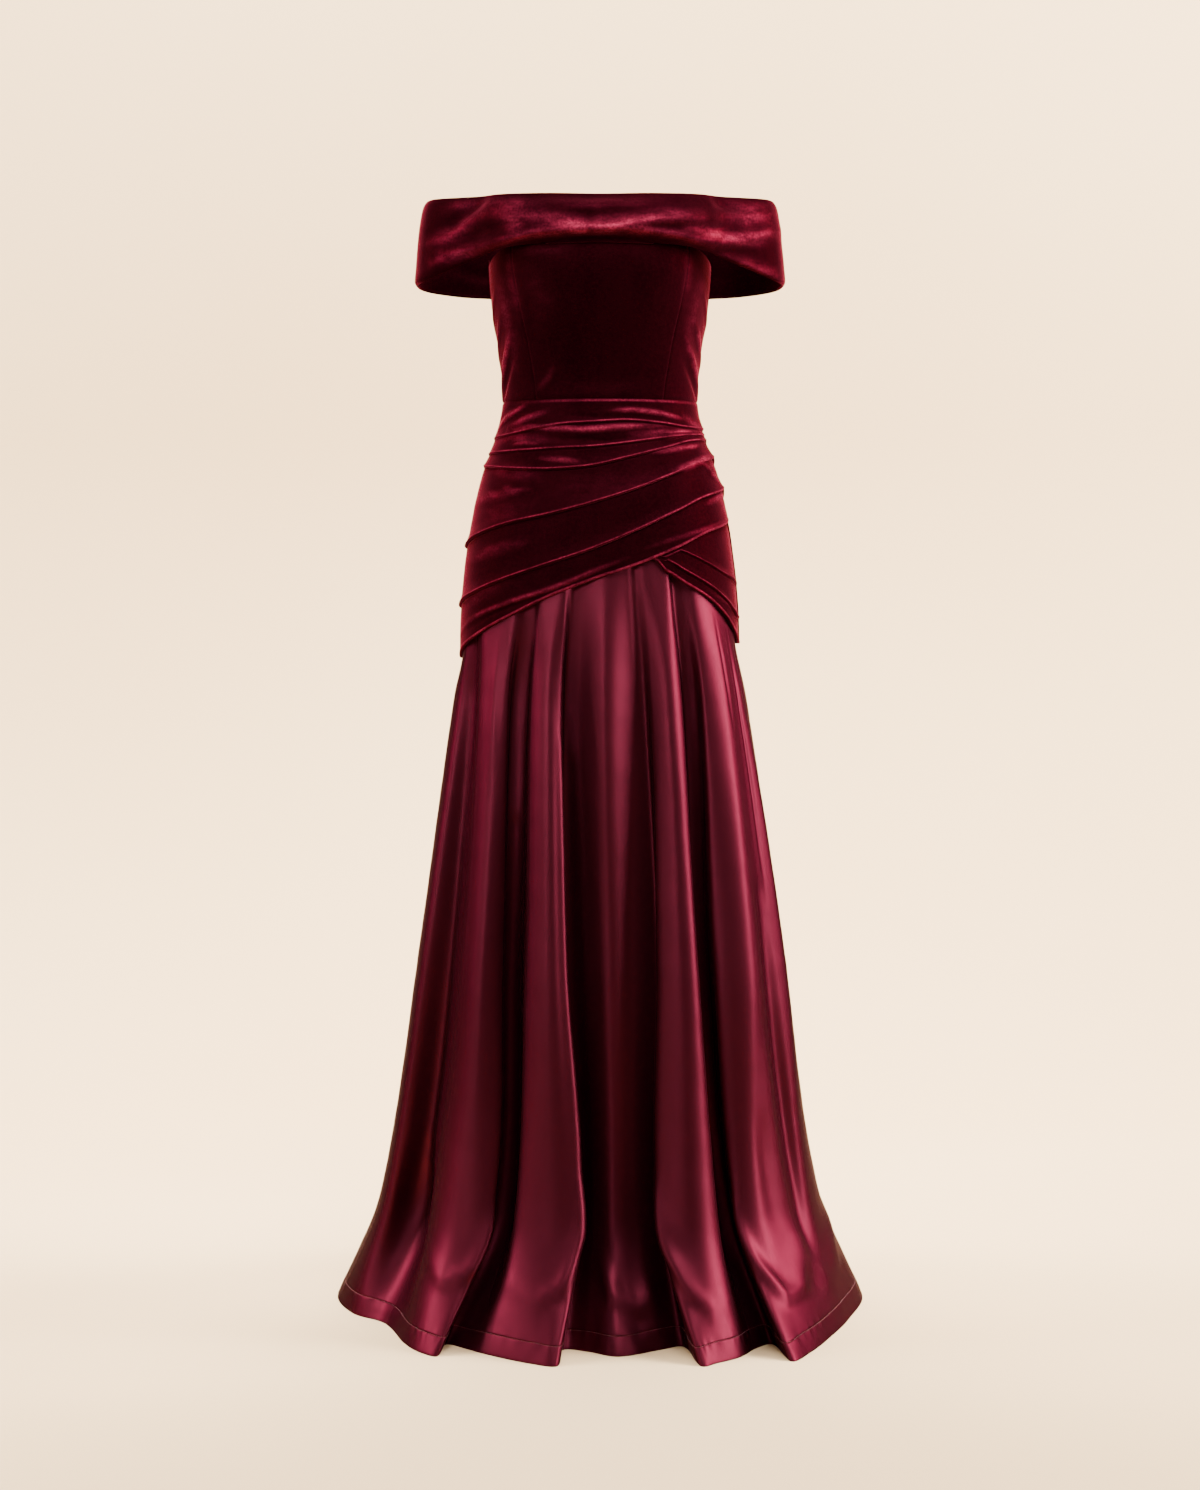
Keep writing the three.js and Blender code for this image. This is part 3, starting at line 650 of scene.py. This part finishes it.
def satin_material():
    """Smooth lustre with a fine warp and slubs along it."""
    paint = Paint("burgundy_satin")
    coordinates = paint.node("ShaderNodeTexCoord")
    place, flat = coordinates.outputs["Object"], coordinates.outputs["UV"]
    drift = paint.noise(paint.stretched(place, (9, 9, 2)), 1.0, 3.0)
    slub = paint.noise(paint.stretched(flat, (1600, 90, 1)), 1.0, 2.0)
    shade = paint.ramp(
        drift,
        (0.30, (0.049, 0.0054, 0.0118)),
        (0.55, (0.055, 0.0061, 0.0133)),
        (0.75, (0.063, 0.0070, 0.0152)),
    )
    paint.link("Base Color", shade)
    warp = paint.node("ShaderNodeTexWave", {"Vector": flat}, Scale=620.0, Distortion=0.0)
    paint.link("Roughness", paint.spread(slub, 0.41, 0.48))
    paint.set(Metallic=0.90, Specular_IOR_Level=0.08)
    paint.set(Specular_Tint=(0.10, 0.02, 0.035, 1))
    weave = paint.bump(warp.outputs["Fac"], 0.06, 0.00012)
    paint.link("Normal", paint.bump(slub, 0.10, 0.0002, weave))
    return paint.material


def thread_material():
    paint = Paint("burgundy_thread")
    place = paint.node("ShaderNodeTexCoord").outputs["Object"]
    twist = paint.noise(place, 1500.0, 2.0)
    shade = paint.ramp(twist, (0.3, (0.09, 0.003, 0.009)), (0.7, (0.16, 0.007, 0.018)))
    paint.link("Base Color", shade)
    paint.link("Normal", paint.bump(twist, 0.4, 0.0002))
    paint.set(Roughness=0.5, Sheen_Weight=0.2)
    return paint.material


VELVET = velvet_material()
SATIN = satin_material()
THREAD = thread_material()


# The body form

def on_form(angle, z, out):
    """Points at an angle and a height, a distance outside the body form."""
    half, front, back = np.moveaxis(read(TORSO, z), -1, 0)
    turn = np.radians(angle)
    depth = np.where(np.cos(turn) > 0, front, back)
    across = np.abs(np.sin(turn) / half) ** SHAPE_POWER
    along = np.abs(np.cos(turn) / depth) ** SHAPE_POWER
    r = (across + along) ** (-1 / SHAPE_POWER) + out
    return np.stack([r * np.sin(turn), -r * np.cos(turn), z + 0 * r], axis=-1)


def radial(grid):
    """Direction away from the axis at each point."""
    flat = grid * np.array([1.0, 1.0, 0.0])
    return flat / np.maximum(np.linalg.norm(flat, axis=-1, keepdims=True), 1e-9)


# Bodice

def bodice_panel(name, start, end, count):
    """Panel between two seams: degrees, or -1 and 1 for the right and the left princess seam."""
    u = np.linspace(0, 1, count)[:, None]
    v = np.linspace(0, 1, BODICE_ROWS)[None, :]
    chest = read(PRINCESS, np.array([90.0]))[0, 0]
    edge = [chest * s if s in (-1, 1) else s for s in (start, end)]
    top = read(BODICE_TOP, np.abs(edge[0] + (edge[1] - edge[0]) * u))[..., 0]
    z = top + (WAIST - top) * v
    seam = read(PRINCESS, z)[..., 0]
    a, b = [seam * s if s in (-1, 1) else np.full_like(z, s) for s in (start, end)]
    angle = a + (b - a) * u
    turned = np.where(angle > 180, angle - 360, angle)
    lift = relief(turned, z, BODICE_CREASES, BODICE_ACROSS)
    # Painted highlight: the base colour is lightened along crease ridges and along the listed strips
    painted_highlight = np.maximum(0.55 * painted_highlight_of(lift), relief(turned, z, BODICE_PAINTED_HIGHLIGHTS, BODICE_ACROSS))
    lift += 0.5 * waves(angle * BODICE_ACROSS, z, 11, 70)
    wide = (b - a) * BODICE_ACROSS
    for distance in (u * wide, (1 - u) * wide):
        lift += rolled(distance, *BODICE_ROLL)
    lift += rolled(z - WAIST, *WAIST_ROLL)
    outer = on_form(angle, z, lift)
    inner = outer - normals_of(outer, radial(outer)) * VELVET_WALL
    piece = cloth(name + "_cloth", outer, inner, VELVET, name, painted_highlight)


# Hip drape

# Below a pleat's edge: distances down, and the share of the pleat's lift that is left there
LIP = np.array([0.5, 1.1, 1.5, 1.7, 2.2, 3.2, 4.6])
LIP_DROP = np.array([0.97, 0.80, 0.42, -0.02, -0.22, -0.16, 0.0])

# At the hem: heights above it, how far the turned edge stands out, and how strongly a painted
# highlight lightens it
HEM_ABOVE = np.array([3.2, 2.2, 1.2, 0.5, 0.0])
HEM_STANDS = np.array([0.5, 0.7, 0.6, 0.1, -0.7])
HEM_PAINTED_HIGHLIGHT = np.array([0.2, 0.5, 0.5, 0.3, 0.0])
LINE_WIDTH = 0.8


def line_at(height, middle):
    """A thin line's strength at heights above an edge."""
    return np.exp(-(((height - middle) / LINE_WIDTH) ** 2))


def edge_rows(above, edge, count):
    """Heights from the step above down to a fold edge, closer together near the edge."""
    t = 1 - (1 - np.linspace(0, 1, count)) ** 1.7
    return above[..., None] + (edge - above)[..., None] * t


def fold_column(angle, edges, lifts, start, creases, swell=15.0):
    """Heights and lifts, row by row, of overlapping folds along a set of edges."""
    above = np.full_like(angle, start)
    heights, rises, painted_highlights = [], [], []
    for k in range(edges.shape[-1] - 1):
        edge, lift = edges[..., k], lifts[..., k]
        room = np.clip((above - edge) / 12.0, 0.12, 1)
        z = edge_rows(above, edge, PLEAT_ROWS)
        height = z - edge[..., None]
        d = height / (swell * np.maximum(room, 0.4))[..., None]
        rise = (lift * room)[..., None] * np.clip(1 - d, 0, 1) ** 1.6
        heights.append(z)
        rises.append(rise + 0.7 * line_at(height, 0.9))
        # Painted highlight: a thin light line just above each fold edge
        painted_highlights.append(0.54 * line_at(height, 0.7))
        heights.append(edge[..., None] - LIP * room[..., None])
        rises.append((lift * room)[..., None] * LIP_DROP)
        painted_highlights.append(np.zeros(rises[-1].shape))
        above = edge - LIP[-1] * room
    hem = edges[..., -1]
    heights.append(edge_rows(above, hem + 4.0, LAST_ROWS))
    rises.append(np.zeros(heights[-1].shape))
    painted_highlights.append(np.zeros(heights[-1].shape))
    heights.append(hem[..., None] + HEM_ABOVE)
    rises.append(np.broadcast_to(HEM_STANDS, heights[-1].shape))
    painted_highlights.append(np.broadcast_to(HEM_PAINTED_HIGHLIGHT, heights[-1].shape))
    z = np.concatenate(heights, axis=-1)
    lift = np.concatenate(rises, axis=-1)
    wide = np.repeat(angle[..., None], z.shape[-1], axis=-1)
    laid = relief(wide, z, creases, HIP_ACROSS)
    painted_highlight = np.maximum(np.concatenate(painted_highlights, axis=-1), 0.7 * painted_highlight_of(laid))
    return wide, z, lift + laid, painted_highlight


def hip_lifts(angle):
    """How far the folds stand out: most at the wearer's left, where they are gathered."""
    turned = np.where(angle > 180, angle - 360, angle)
    left = np.exp(-(((angle - SIDE_SEAM) / 45) ** 2))[..., None]
    right = np.exp(-(((turned + SIDE_SEAM) / 45) ** 2))[..., None]
    middle = np.array(HIP_LIFT_MIDDLE)
    to_left = np.array(HIP_LIFT_LEFT) - middle
    to_right = np.array(HIP_LIFT_RIGHT) - middle
    return middle + left * to_left + right * to_right


def hip_piece(name, table, start, end, count):
    """Part of the drape between two seams, from the waist to its hem."""
    angle = np.linspace(start, end, count)
    edges = read(table, angle)
    wide, z, lift, painted_highlight = fold_column(angle, edges, hip_lifts(angle), -WAIST, HIP_CREASES)
    # Painted highlight: a thin light line just below the waist seam, and the listed strips
    painted_highlight = np.maximum(painted_highlight, 0.36 * line_at(z, -2.0))
    painted_highlight = np.maximum(painted_highlight, relief(wide, z, HIP_PAINTED_HIGHLIGHTS, HIP_ACROSS))
    lift += 0.4 * waves(wide * HIP_ACROSS, z, 23, 60)
    lift += rolled(z + WAIST, *WAIST_ROLL)
    for distance in (wide - start, end - wide):
        lift += rolled(distance * HIP_SEAM_ACROSS, *HIP_ROLL)
    outer = on_form(wide, z, lift)
    inner = on_form(wide, z, lift - VELVET_WALL)
    piece = cloth(name + "_cloth", outer, inner, VELVET, name, painted_highlight)


def under_wrap():
    """The piece that comes out from behind the wrap at the wearer's left."""
    angle = np.linspace(UNDER_START, SIDE_SEAM, UNDER_COLUMNS)
    table = read(UNDER_EDGES, angle)
    wrap_hem = read(HIP_FRONT_EDGES, angle)[..., -1]
    hidden = 1 - np.clip((angle - UNDER_HIDDEN) / UNDER_APPEARS, 0, 1)
    edges = np.minimum(table, wrap_hem[:, None] - UNDER_BELOW) + hidden[:, None] * UNDER_RAISED
    first = edges[:, :1]
    lifts = np.full((len(angle), 2), UNDER_LIFT)
    wide, z, lift, painted_highlight = fold_column(angle, edges, lifts, 0.0, UNDER_CREASES, UNDER_SWELL)
    top = (wrap_hem + UNDER_TOP)[:, None]
    upper = z[:, :PLEAT_ROWS]
    reach_down = (upper - upper[:, :1]) / (upper[:, -1:] - upper[:, :1])
    upper = top + (first - top) * reach_down
    z[:, :PLEAT_ROWS] = upper
    near = np.clip(1 - (upper - first) / UNDER_SWELL, 0, 1)
    lift[:, :PLEAT_ROWS] = UNDER_LIFT * near ** 1.6
    shown = np.clip((wrap_hem[:, None] - 2.5 - z) / 6, 0, 1)
    out = -VELVET_WALL - UNDER_BEHIND + (lift + UNDER_BEHIND) * shown
    outer = on_form(wide, z, out)
    inner = on_form(wide, z, out - VELVET_WALL)
    piece = cloth("hip_underwrap_left_cloth", outer, inner, VELVET, "hip_underwrap_left", painted_highlight)


# Skirt

def velvet_hem(angle):
    """Height of the lowest velvet edge at an angle."""
    if angle < UNDER_SHOWS:
        return read(HIP_FRONT_EDGES, np.array([angle]))[0, -1]
    if angle < SIDE_SEAM:
        return read(UNDER_EDGES, np.array([angle]))[0, 2]
    return read(HIP_BACK_EDGES, np.array([angle]))[0, -1]


def fold_lines(levels):
    """Each fold's line from the velvet to the floor, read at fractions of its height."""
    lines = []
    for angle, inset, *plan in FOLDS:
        hem = velvet_hem(angle)
        top = on_form(np.array([angle]), np.array([hem + TUCK]), -inset)[0]
        edge = on_form(np.array([angle]), np.array([hem - SATIN_DROP]), -inset)[0]
        path = [[top[2], top[0], top[1]], [edge[2], edge[0], edge[1]]]
        path += [[z, plan[2 * k], plan[2 * k + 1]] for k, z in enumerate(FOLD_HEIGHTS)]
        z = top[2] + (FLOOR - top[2]) * levels
        lines.append(np.concatenate([read(path, z), z[:, None]], axis=-1))
    return np.array(lines)


def skirt_surface():
    """The satin's outside all round, as columns of points at set lengths above the hem."""
    lines = fold_lines(np.linspace(0, 1, SKIRT_LEVELS))
    u = np.arange(len(FOLDS) * COLUMNS_PER_FOLD + 1) / COLUMNS_PER_FOLD
    dense = closed_curve(lines, u)
    number = np.repeat(u[:, None], dense.shape[1], axis=1)
    z = dense[..., 2]
    lift = relief(number, z, SKIRT_CREASES, SKIRT_ACROSS)
    calm = np.clip((velvet_low(number) - z) / CALM_REACH, 0, 1)
    lift += 1.3 * calm * waves(number * CLOTH_PER_FOLD, z * 0.35, 31, 90)
    lift += 0.35 * calm * waves(number * CLOTH_PER_FOLD, z, 37, 34)
    across = np.gradient(dense, axis=0)
    outward = np.stack([across[..., 1], -across[..., 0], 0 * across[..., 0]], axis=-1)
    outward /= np.maximum(np.linalg.norm(outward, axis=-1, keepdims=True), 1e-9)
    dense = dense + outward * (lift * calm)[..., None]
    return u, hem_rows(dense)


def velvet_low(number):
    """Height of the lowest velvet edge at each fold number."""
    angles = [fold[0] for fold in FOLDS] + [RIGHT_SEAM]
    heights = [velvet_hem(a) for a in angles]
    return np.interp(number, np.arange(len(angles)), heights)


# Lengths above the hem of its lowest rows, closer together at the stitching
HEM_LENGTHS = np.array([
    0, 0.5, 1.2, 2.4, 5, 9, 13, 17, 20, 22.4, 23.6, 24.3, 24.8, 25.3, 26, 27.2, 30, 35, 42,
])


def hem_rows(dense):
    """Columns read again at set lengths above the hem, so that the hem's stitching stays level."""
    rows = []
    for column in dense:
        up = column[::-1]
        lengths = lengths_of(up)
        far = np.linspace(HEM_LENGTHS[-1], lengths[-1], SKIRT_ROWS + 1)[1:]
        rows.append(read_along(up, lengths, np.concatenate([HEM_LENGTHS, far])[::-1]))
    return np.array(rows)


def skirt():
    """Front and back of the skirt with the turned and stitched hem."""
    u, outer = skirt_surface()
    normal = normals_of(outer, radial(outer))
    far_above = np.full(SKIRT_ROWS, 400.0)  # out of reach of the stitching
    above = np.concatenate([HEM_LENGTHS, far_above])[::-1]
    stitch = -0.55 * np.exp(-(((above - HEM_TURNING) / 0.7) ** 2))
    turning = np.where(above < HEM_TURNING, 0.5, 0.0) - 0.6 * np.exp(-((above / 0.9) ** 2))
    puckers = 0.28 * np.sin(u * CLOTH_PER_FOLD * math.tau / 9.0 + 2 * np.sin(u * 3.1))
    pucker = puckers[:, None] * np.exp(-(((above - HEM_TURNING + 2) / 7.0) ** 2))[None, :]
    face = outer + normal * (stitch + turning + pucker)[..., None]
    inner = outer - normal * SATIN_WALL
    split = FRONT_FOLDS * COLUMNS_PER_FOLD
    for name, part, flat, area in (
        ("skirt_front", slice(0, split + 1), (1.3, 0.98), 0.78),
        ("skirt_back", slice(split, None), (1.3, 0.88), 0.75),
    ):
        piece = cloth(name + "_cloth", face[part], inner[part], SATIN, name)
        seam = hem_stitches(name, face[part], normal[part], above)


STITCH_PITCH = 3.4
STITCH_LENGTH = 2.5
STITCH_RADIUS = 0.22
STITCH_SIDES = 5
# Rings of a stitch: place along it, rise out of the cloth, share of its thickness
STITCH_RINGS = [(0, -0.2, 0.6), (0.25, 0.24, 1), (0.75, 0.24, 1), (1, -0.2, 0.6)]


def hem_stitches(name, face, normal, above):
    """Machine stitches along the hem, each a short thread lying in the groove."""
    row = int(np.argmin(np.abs(above - HEM_TURNING)))
    line, lean = face[:, row], normal[:, row]
    lengths = lengths_of(line)
    sides, last = STITCH_SIDES, len(STITCH_RINGS) - 1
    verts, faces = [], []
    for s in np.arange(1.5, lengths[-1] - 4, STITCH_PITCH):
        a, b = read_along(line, lengths, s), read_along(line, lengths, s + STITCH_LENGTH)
        out = read_along(lean, lengths, s)
        run = (b - a) / max(np.linalg.norm(b - a), 1e-6)
        side = np.cross(run, out)
        base = len(verts)
        for t, rise, girth in STITCH_RINGS:
            centre = a + (b - a) * t + out * (0.1 + rise)
            for turn in range(sides):
                angle = turn * math.tau / sides
                ring = side * math.cos(angle) + out * math.sin(angle)
                verts.append(tuple((centre + ring * STITCH_RADIUS * girth) * MM))
        for r in range(last):
            this, other = base + r * sides, base + (r + 1) * sides
            for t in range(sides):
                n = (t + 1) % sides
                faces.append((this + t, this + n, other + n, other + t))
        faces.append(tuple(base + t for t in reversed(range(sides))))
        faces.append(tuple(base + last * sides + t for t in range(sides)))
    piece = put_mesh(name + "_hem_stitches", verts, faces, THREAD)
    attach(piece, "root")
    return piece


# Band

FRONT_CREST = 4.0  # how far the middle of the front's top edge stands above its ends
CREST_REACH = 134


def band_station(row, side):
    """Points of the band's cloth at one station, from inside its top edge to its lower edge."""
    tx, ty, tz, mx, my, mz, lx, ly, lz, tuck_in, tuck_down = row
    away = np.array([tx, ty + (0 if ty < 0 else -15)])
    away = away / np.linalg.norm(away)

    def at(x, y, z, out):
        return [side * (x + away[0] * out), y + away[1] * out, z]

    def between(a, b, t):
        return a + (b - a) * t

    return [
        at(tx, ty, tz - TOP_RETURN, -7),
        at(tx, ty, tz - 4, -6),
        at(tx, ty, tz, -2),
        at(tx, ty, tz - 5, 2.5),
        at(between(tx, mx, 0.7), between(ty, my, 0.7), between(tz, mz, 0.6), 1.5),
        at(mx, my, mz, 1),
        at(between(mx, lx, 0.6), between(my, ly, 0.6), between(mz, lz, 0.6), 1.2),
        at(lx, ly, lz + 3, 0.6),
        at(lx, ly, lz - tuck_down * 0.4, -tuck_in * 0.55),
        at(lx, ly, lz - tuck_down, -tuck_in),
    ]


def smooth_rows(profile, count):
    """Columns of a few points read again at more rows, evenly along each column, smoothly."""
    knots = profile.shape[1]
    before = 2 * profile[:, :1] - profile[:, 1:2]
    after = 2 * profile[:, -1:] - profile[:, -2:-1]
    order = np.moveaxis(np.concatenate([before, profile, after], axis=1), 1, 0)
    fine = closed_curve(order, 1 + np.linspace(0, knots - 1.0001, 8 * knots))
    fine = np.moveaxis(fine, 0, 1)
    steps = np.linalg.norm(np.diff(fine, axis=1), axis=-1).mean(axis=0)
    length = np.concatenate([[0], np.cumsum(steps)])
    places = np.linspace(0, length[-1], count)
    return np.array([read_along(column, length, places) for column in fine])


def outside(points, clear):
    """Points moved out to lie at least a clear distance outside the body form."""
    angle = np.degrees(np.arctan2(points[..., 0], -points[..., 1]))
    least = on_form(angle, points[..., 2], clear)
    near = np.hypot(points[..., 0], points[..., 1]) < np.hypot(least[..., 0], least[..., 1])
    return np.where(near[..., None], least, points)


def band():
    """Front and back of the band, seamed at the outer arms."""
    left = [band_station(row, 1) for row in BAND]
    right = [band_station(row, -1) for row in BAND[1:-1]]
    stations = np.array(left + right[::-1])
    count = len(stations)
    arm = BAND_ARM
    for name, start, end, creases, painted_strips, crest, flat in (
        ("band_front", -arm, arm, BAND_FRONT_CREASES, BAND_FRONT_PAINTED_HIGHLIGHTS, FRONT_CREST, (0.62, 0.118)),
        ("band_back", arm, count - arm, BAND_BACK_CREASES, [], 0.0, (0.52, 0.138)),
    ):
        u = np.arange(start * COLUMNS_PER_STATION, end * COLUMNS_PER_STATION + 1) / COLUMNS_PER_STATION
        outer = smooth_rows(closed_curve(stations, u % count), BAND_ROWS)
        outer = outside(outer, BAND_CLEAR + VELVET_WALL)
        away = radial(outer)
        normal = normals_of(outer, away)
        rows = np.linspace(0, 1, BAND_ROWS)[None, :]
        middle = np.exp(-((outer[..., 0] / CREST_REACH) ** 8))
        outer[..., 2] += crest * middle * np.clip(1 - rows / 0.55, 0, 1)
        body = np.clip((rows - 0.20) / 0.12, 0, 1) * np.clip((0.97 - rows) / 0.06, 0, 1)
        x, z = outer[..., 0], outer[..., 2]
        lift = relief(x, z, creases)
        # Painted highlight: the listed strips on the front, along crease ridges on the back
        painted_shine = relief(x, z, painted_strips) if painted_strips else 0.45 * painted_highlight_of(lift)
        painted_highlight = np.clip(painted_shine, 0, 1) * body
        lift += 0.7 * waves(x, z * 1.6, 41, 90)
        for distance in (u[:, None] - start, end - u[:, None]):
            roll = rolled(distance * CLOTH_PER_STATION, *BAND_ROLL)
            lift = lift + roll / np.maximum(body, 0.3)
        outer = outer + normal * (lift * body)[..., None]
        normal = normals_of(outer, away)
        inner = outside(outer - normal * VELVET_WALL, LINING_CLEAR)
        piece = cloth(name + "_cloth", outer, inner, VELVET, name, painted_highlight)


# The whole gown

bodice_panel("bodice_front_centre", -1, 1, 170)
bodice_panel("bodice_side_front_right", -SIDE_SEAM, -1, 80)
bodice_panel("bodice_side_front_left", 1, SIDE_SEAM, 80)
bodice_panel("bodice_back_left", SIDE_SEAM, BACK_SEAM, 120)
bodice_panel("bodice_back_right", BACK_SEAM, RIGHT_SEAM, 120)
hip_piece("hip_wrap_front", HIP_FRONT_EDGES, -SIDE_SEAM, SIDE_SEAM, 250)
hip_piece("hip_back_left", HIP_BACK_EDGES, SIDE_SEAM, BACK_SEAM, 104)
hip_piece("hip_back_right", HIP_BACK_EDGES, BACK_SEAM, RIGHT_SEAM, 104)
under_wrap()
skirt()
band()


# Studio

# Camera and paper, in metres and degrees
CAMERA_DISTANCE = 3.5
CAMERA_HEIGHT = -0.2116
CAMERA_PITCH = 3.53
FOCAL_IN_HEIGHTS = 2790 / 1490
SENSOR = 36.0

PAPER_FRONT = -1.4
PAPER_WALL = 2.4
PAPER_TOP = 3.6
PAPER_HALF = 1.8
PAPER_BEND = 1.2
BEND_STEPS = 24

WARM = (1.0, 0.965, 0.92)
CREAM = (1.0, 0.955, 0.89)
# Lamps: name, place, aim, size, watts, colour, spread in degrees
LAMPS = [
    ("key", (3.3, -0.85, 0.8), (0, 0, 0), (1.3, 2.4), 29, WARM, 50),
    ("fill", (-2.9, -1.7, 0.6), (0, 0, -0.4), (1.1, 2.4), 25, WARM, 180),
    ("front", (-2.3, -3.8, 1.1), (0, 0, 0.2), (2.4, 0.9), 12.5, WARM, 34),
    ("top", (0.3, -1.0, 1.35), (0, -0.1, 0.1), (1.7, 0.8), 20, WARM, 56),
    ("floor", (0.0, 1.5, 2.5), (0, 0.2, -1.1), (3.4, 1.6), 400, WARM, 180),
    ("wall_left", (-3.4, 0.4, 1.6), (0.3, 2.4, 0.2), (1.6, 2.6), 370, CREAM, 180),
    ("wall_right", (3.4, 0.4, 1.6), (-0.3, 2.4, 0.2), (1.6, 2.6), 630, CREAM, 180),
]
WORLD_STRENGTH = 0.08


def camera():
    data = bpy.data.cameras.new("camera")
    data.sensor_width = SENSOR
    data.lens = SENSOR * FOCAL_IN_HEIGHTS
    data.clip_end = 50
    eye = put("camera", data)
    eye.location = (0, -CAMERA_DISTANCE, CAMERA_HEIGHT)
    eye.rotation_euler = (math.radians(90 - CAMERA_PITCH), 0, 0)
    bpy.context.scene.camera = eye


def backdrop_material():
    """Cream paper that is clear from behind."""
    paint = Paint("cream_paper")
    place = paint.node("ShaderNodeTexCoord").outputs["Object"]
    cloud = paint.noise(place, 0.8, 2.0)
    shade = paint.ramp(cloud, (0.3, (0.80, 0.572, 0.325)), (0.7, (0.83, 0.606, 0.356)))
    paint.link("Base Color", shade)
    paint.set(Roughness=0.9, Specular_IOR_Level=0.1)
    side = paint.node("ShaderNodeNewGeometry").outputs["Backfacing"]
    clear = paint.node("ShaderNodeBsdfTransparent").outputs["BSDF"]
    sheet = paint.node("ShaderNodeMixShader", {0: side, 1: paint.shader.outputs["BSDF"], 2: clear})
    ending = paint.tree.nodes["Material Output"]
    paint.tree.links.new(sheet.outputs["Shader"], ending.inputs["Surface"])
    return paint.material


def backdrop():
    """Seamless paper: a floor that bends up into a wall."""
    floor = FLOOR * MM
    profile = [(PAPER_FRONT, floor)]
    for i in range(BEND_STEPS + 1):
        turn = math.pi / 2 * i / BEND_STEPS
        back = PAPER_WALL - PAPER_BEND + PAPER_BEND * math.sin(turn)
        profile.append((back, floor + PAPER_BEND * (1 - math.cos(turn))))
    profile.append((PAPER_WALL, PAPER_TOP))
    verts = [(x, y, z) for y, z in profile for x in (-PAPER_HALF, PAPER_HALF)]
    faces = [(2 * i, 2 * i + 1, 2 * i + 3, 2 * i + 2) for i in range(len(profile) - 1)]
    paper = put_mesh("backdrop", verts, faces, backdrop_material())


def lamp(name, place, aim, size, power, colour, spread):
    data = bpy.data.lights.new(name, "AREA")
    data.shape = "RECTANGLE"
    data.size, data.size_y = size
    data.energy = power
    data.spread = math.radians(spread)
    data.color = colour
    light = put(name, data)
    light.location = place
    direction = np.array(aim, float) - np.array(place, float)
    light.rotation_euler = Vector(direction).to_track_quat("-Z", "Y").to_euler()


def studio():
    for row in LAMPS:
        lamp(*row)
    world = bpy.data.worlds.new("studio")
    world.use_nodes = True
    background = world.node_tree.nodes["Background"]
    background.inputs["Color"].default_value = (*CREAM, 1)
    background.inputs["Strength"].default_value = WORLD_STRENGTH
    bpy.context.scene.world = world


camera()
backdrop()
studio()
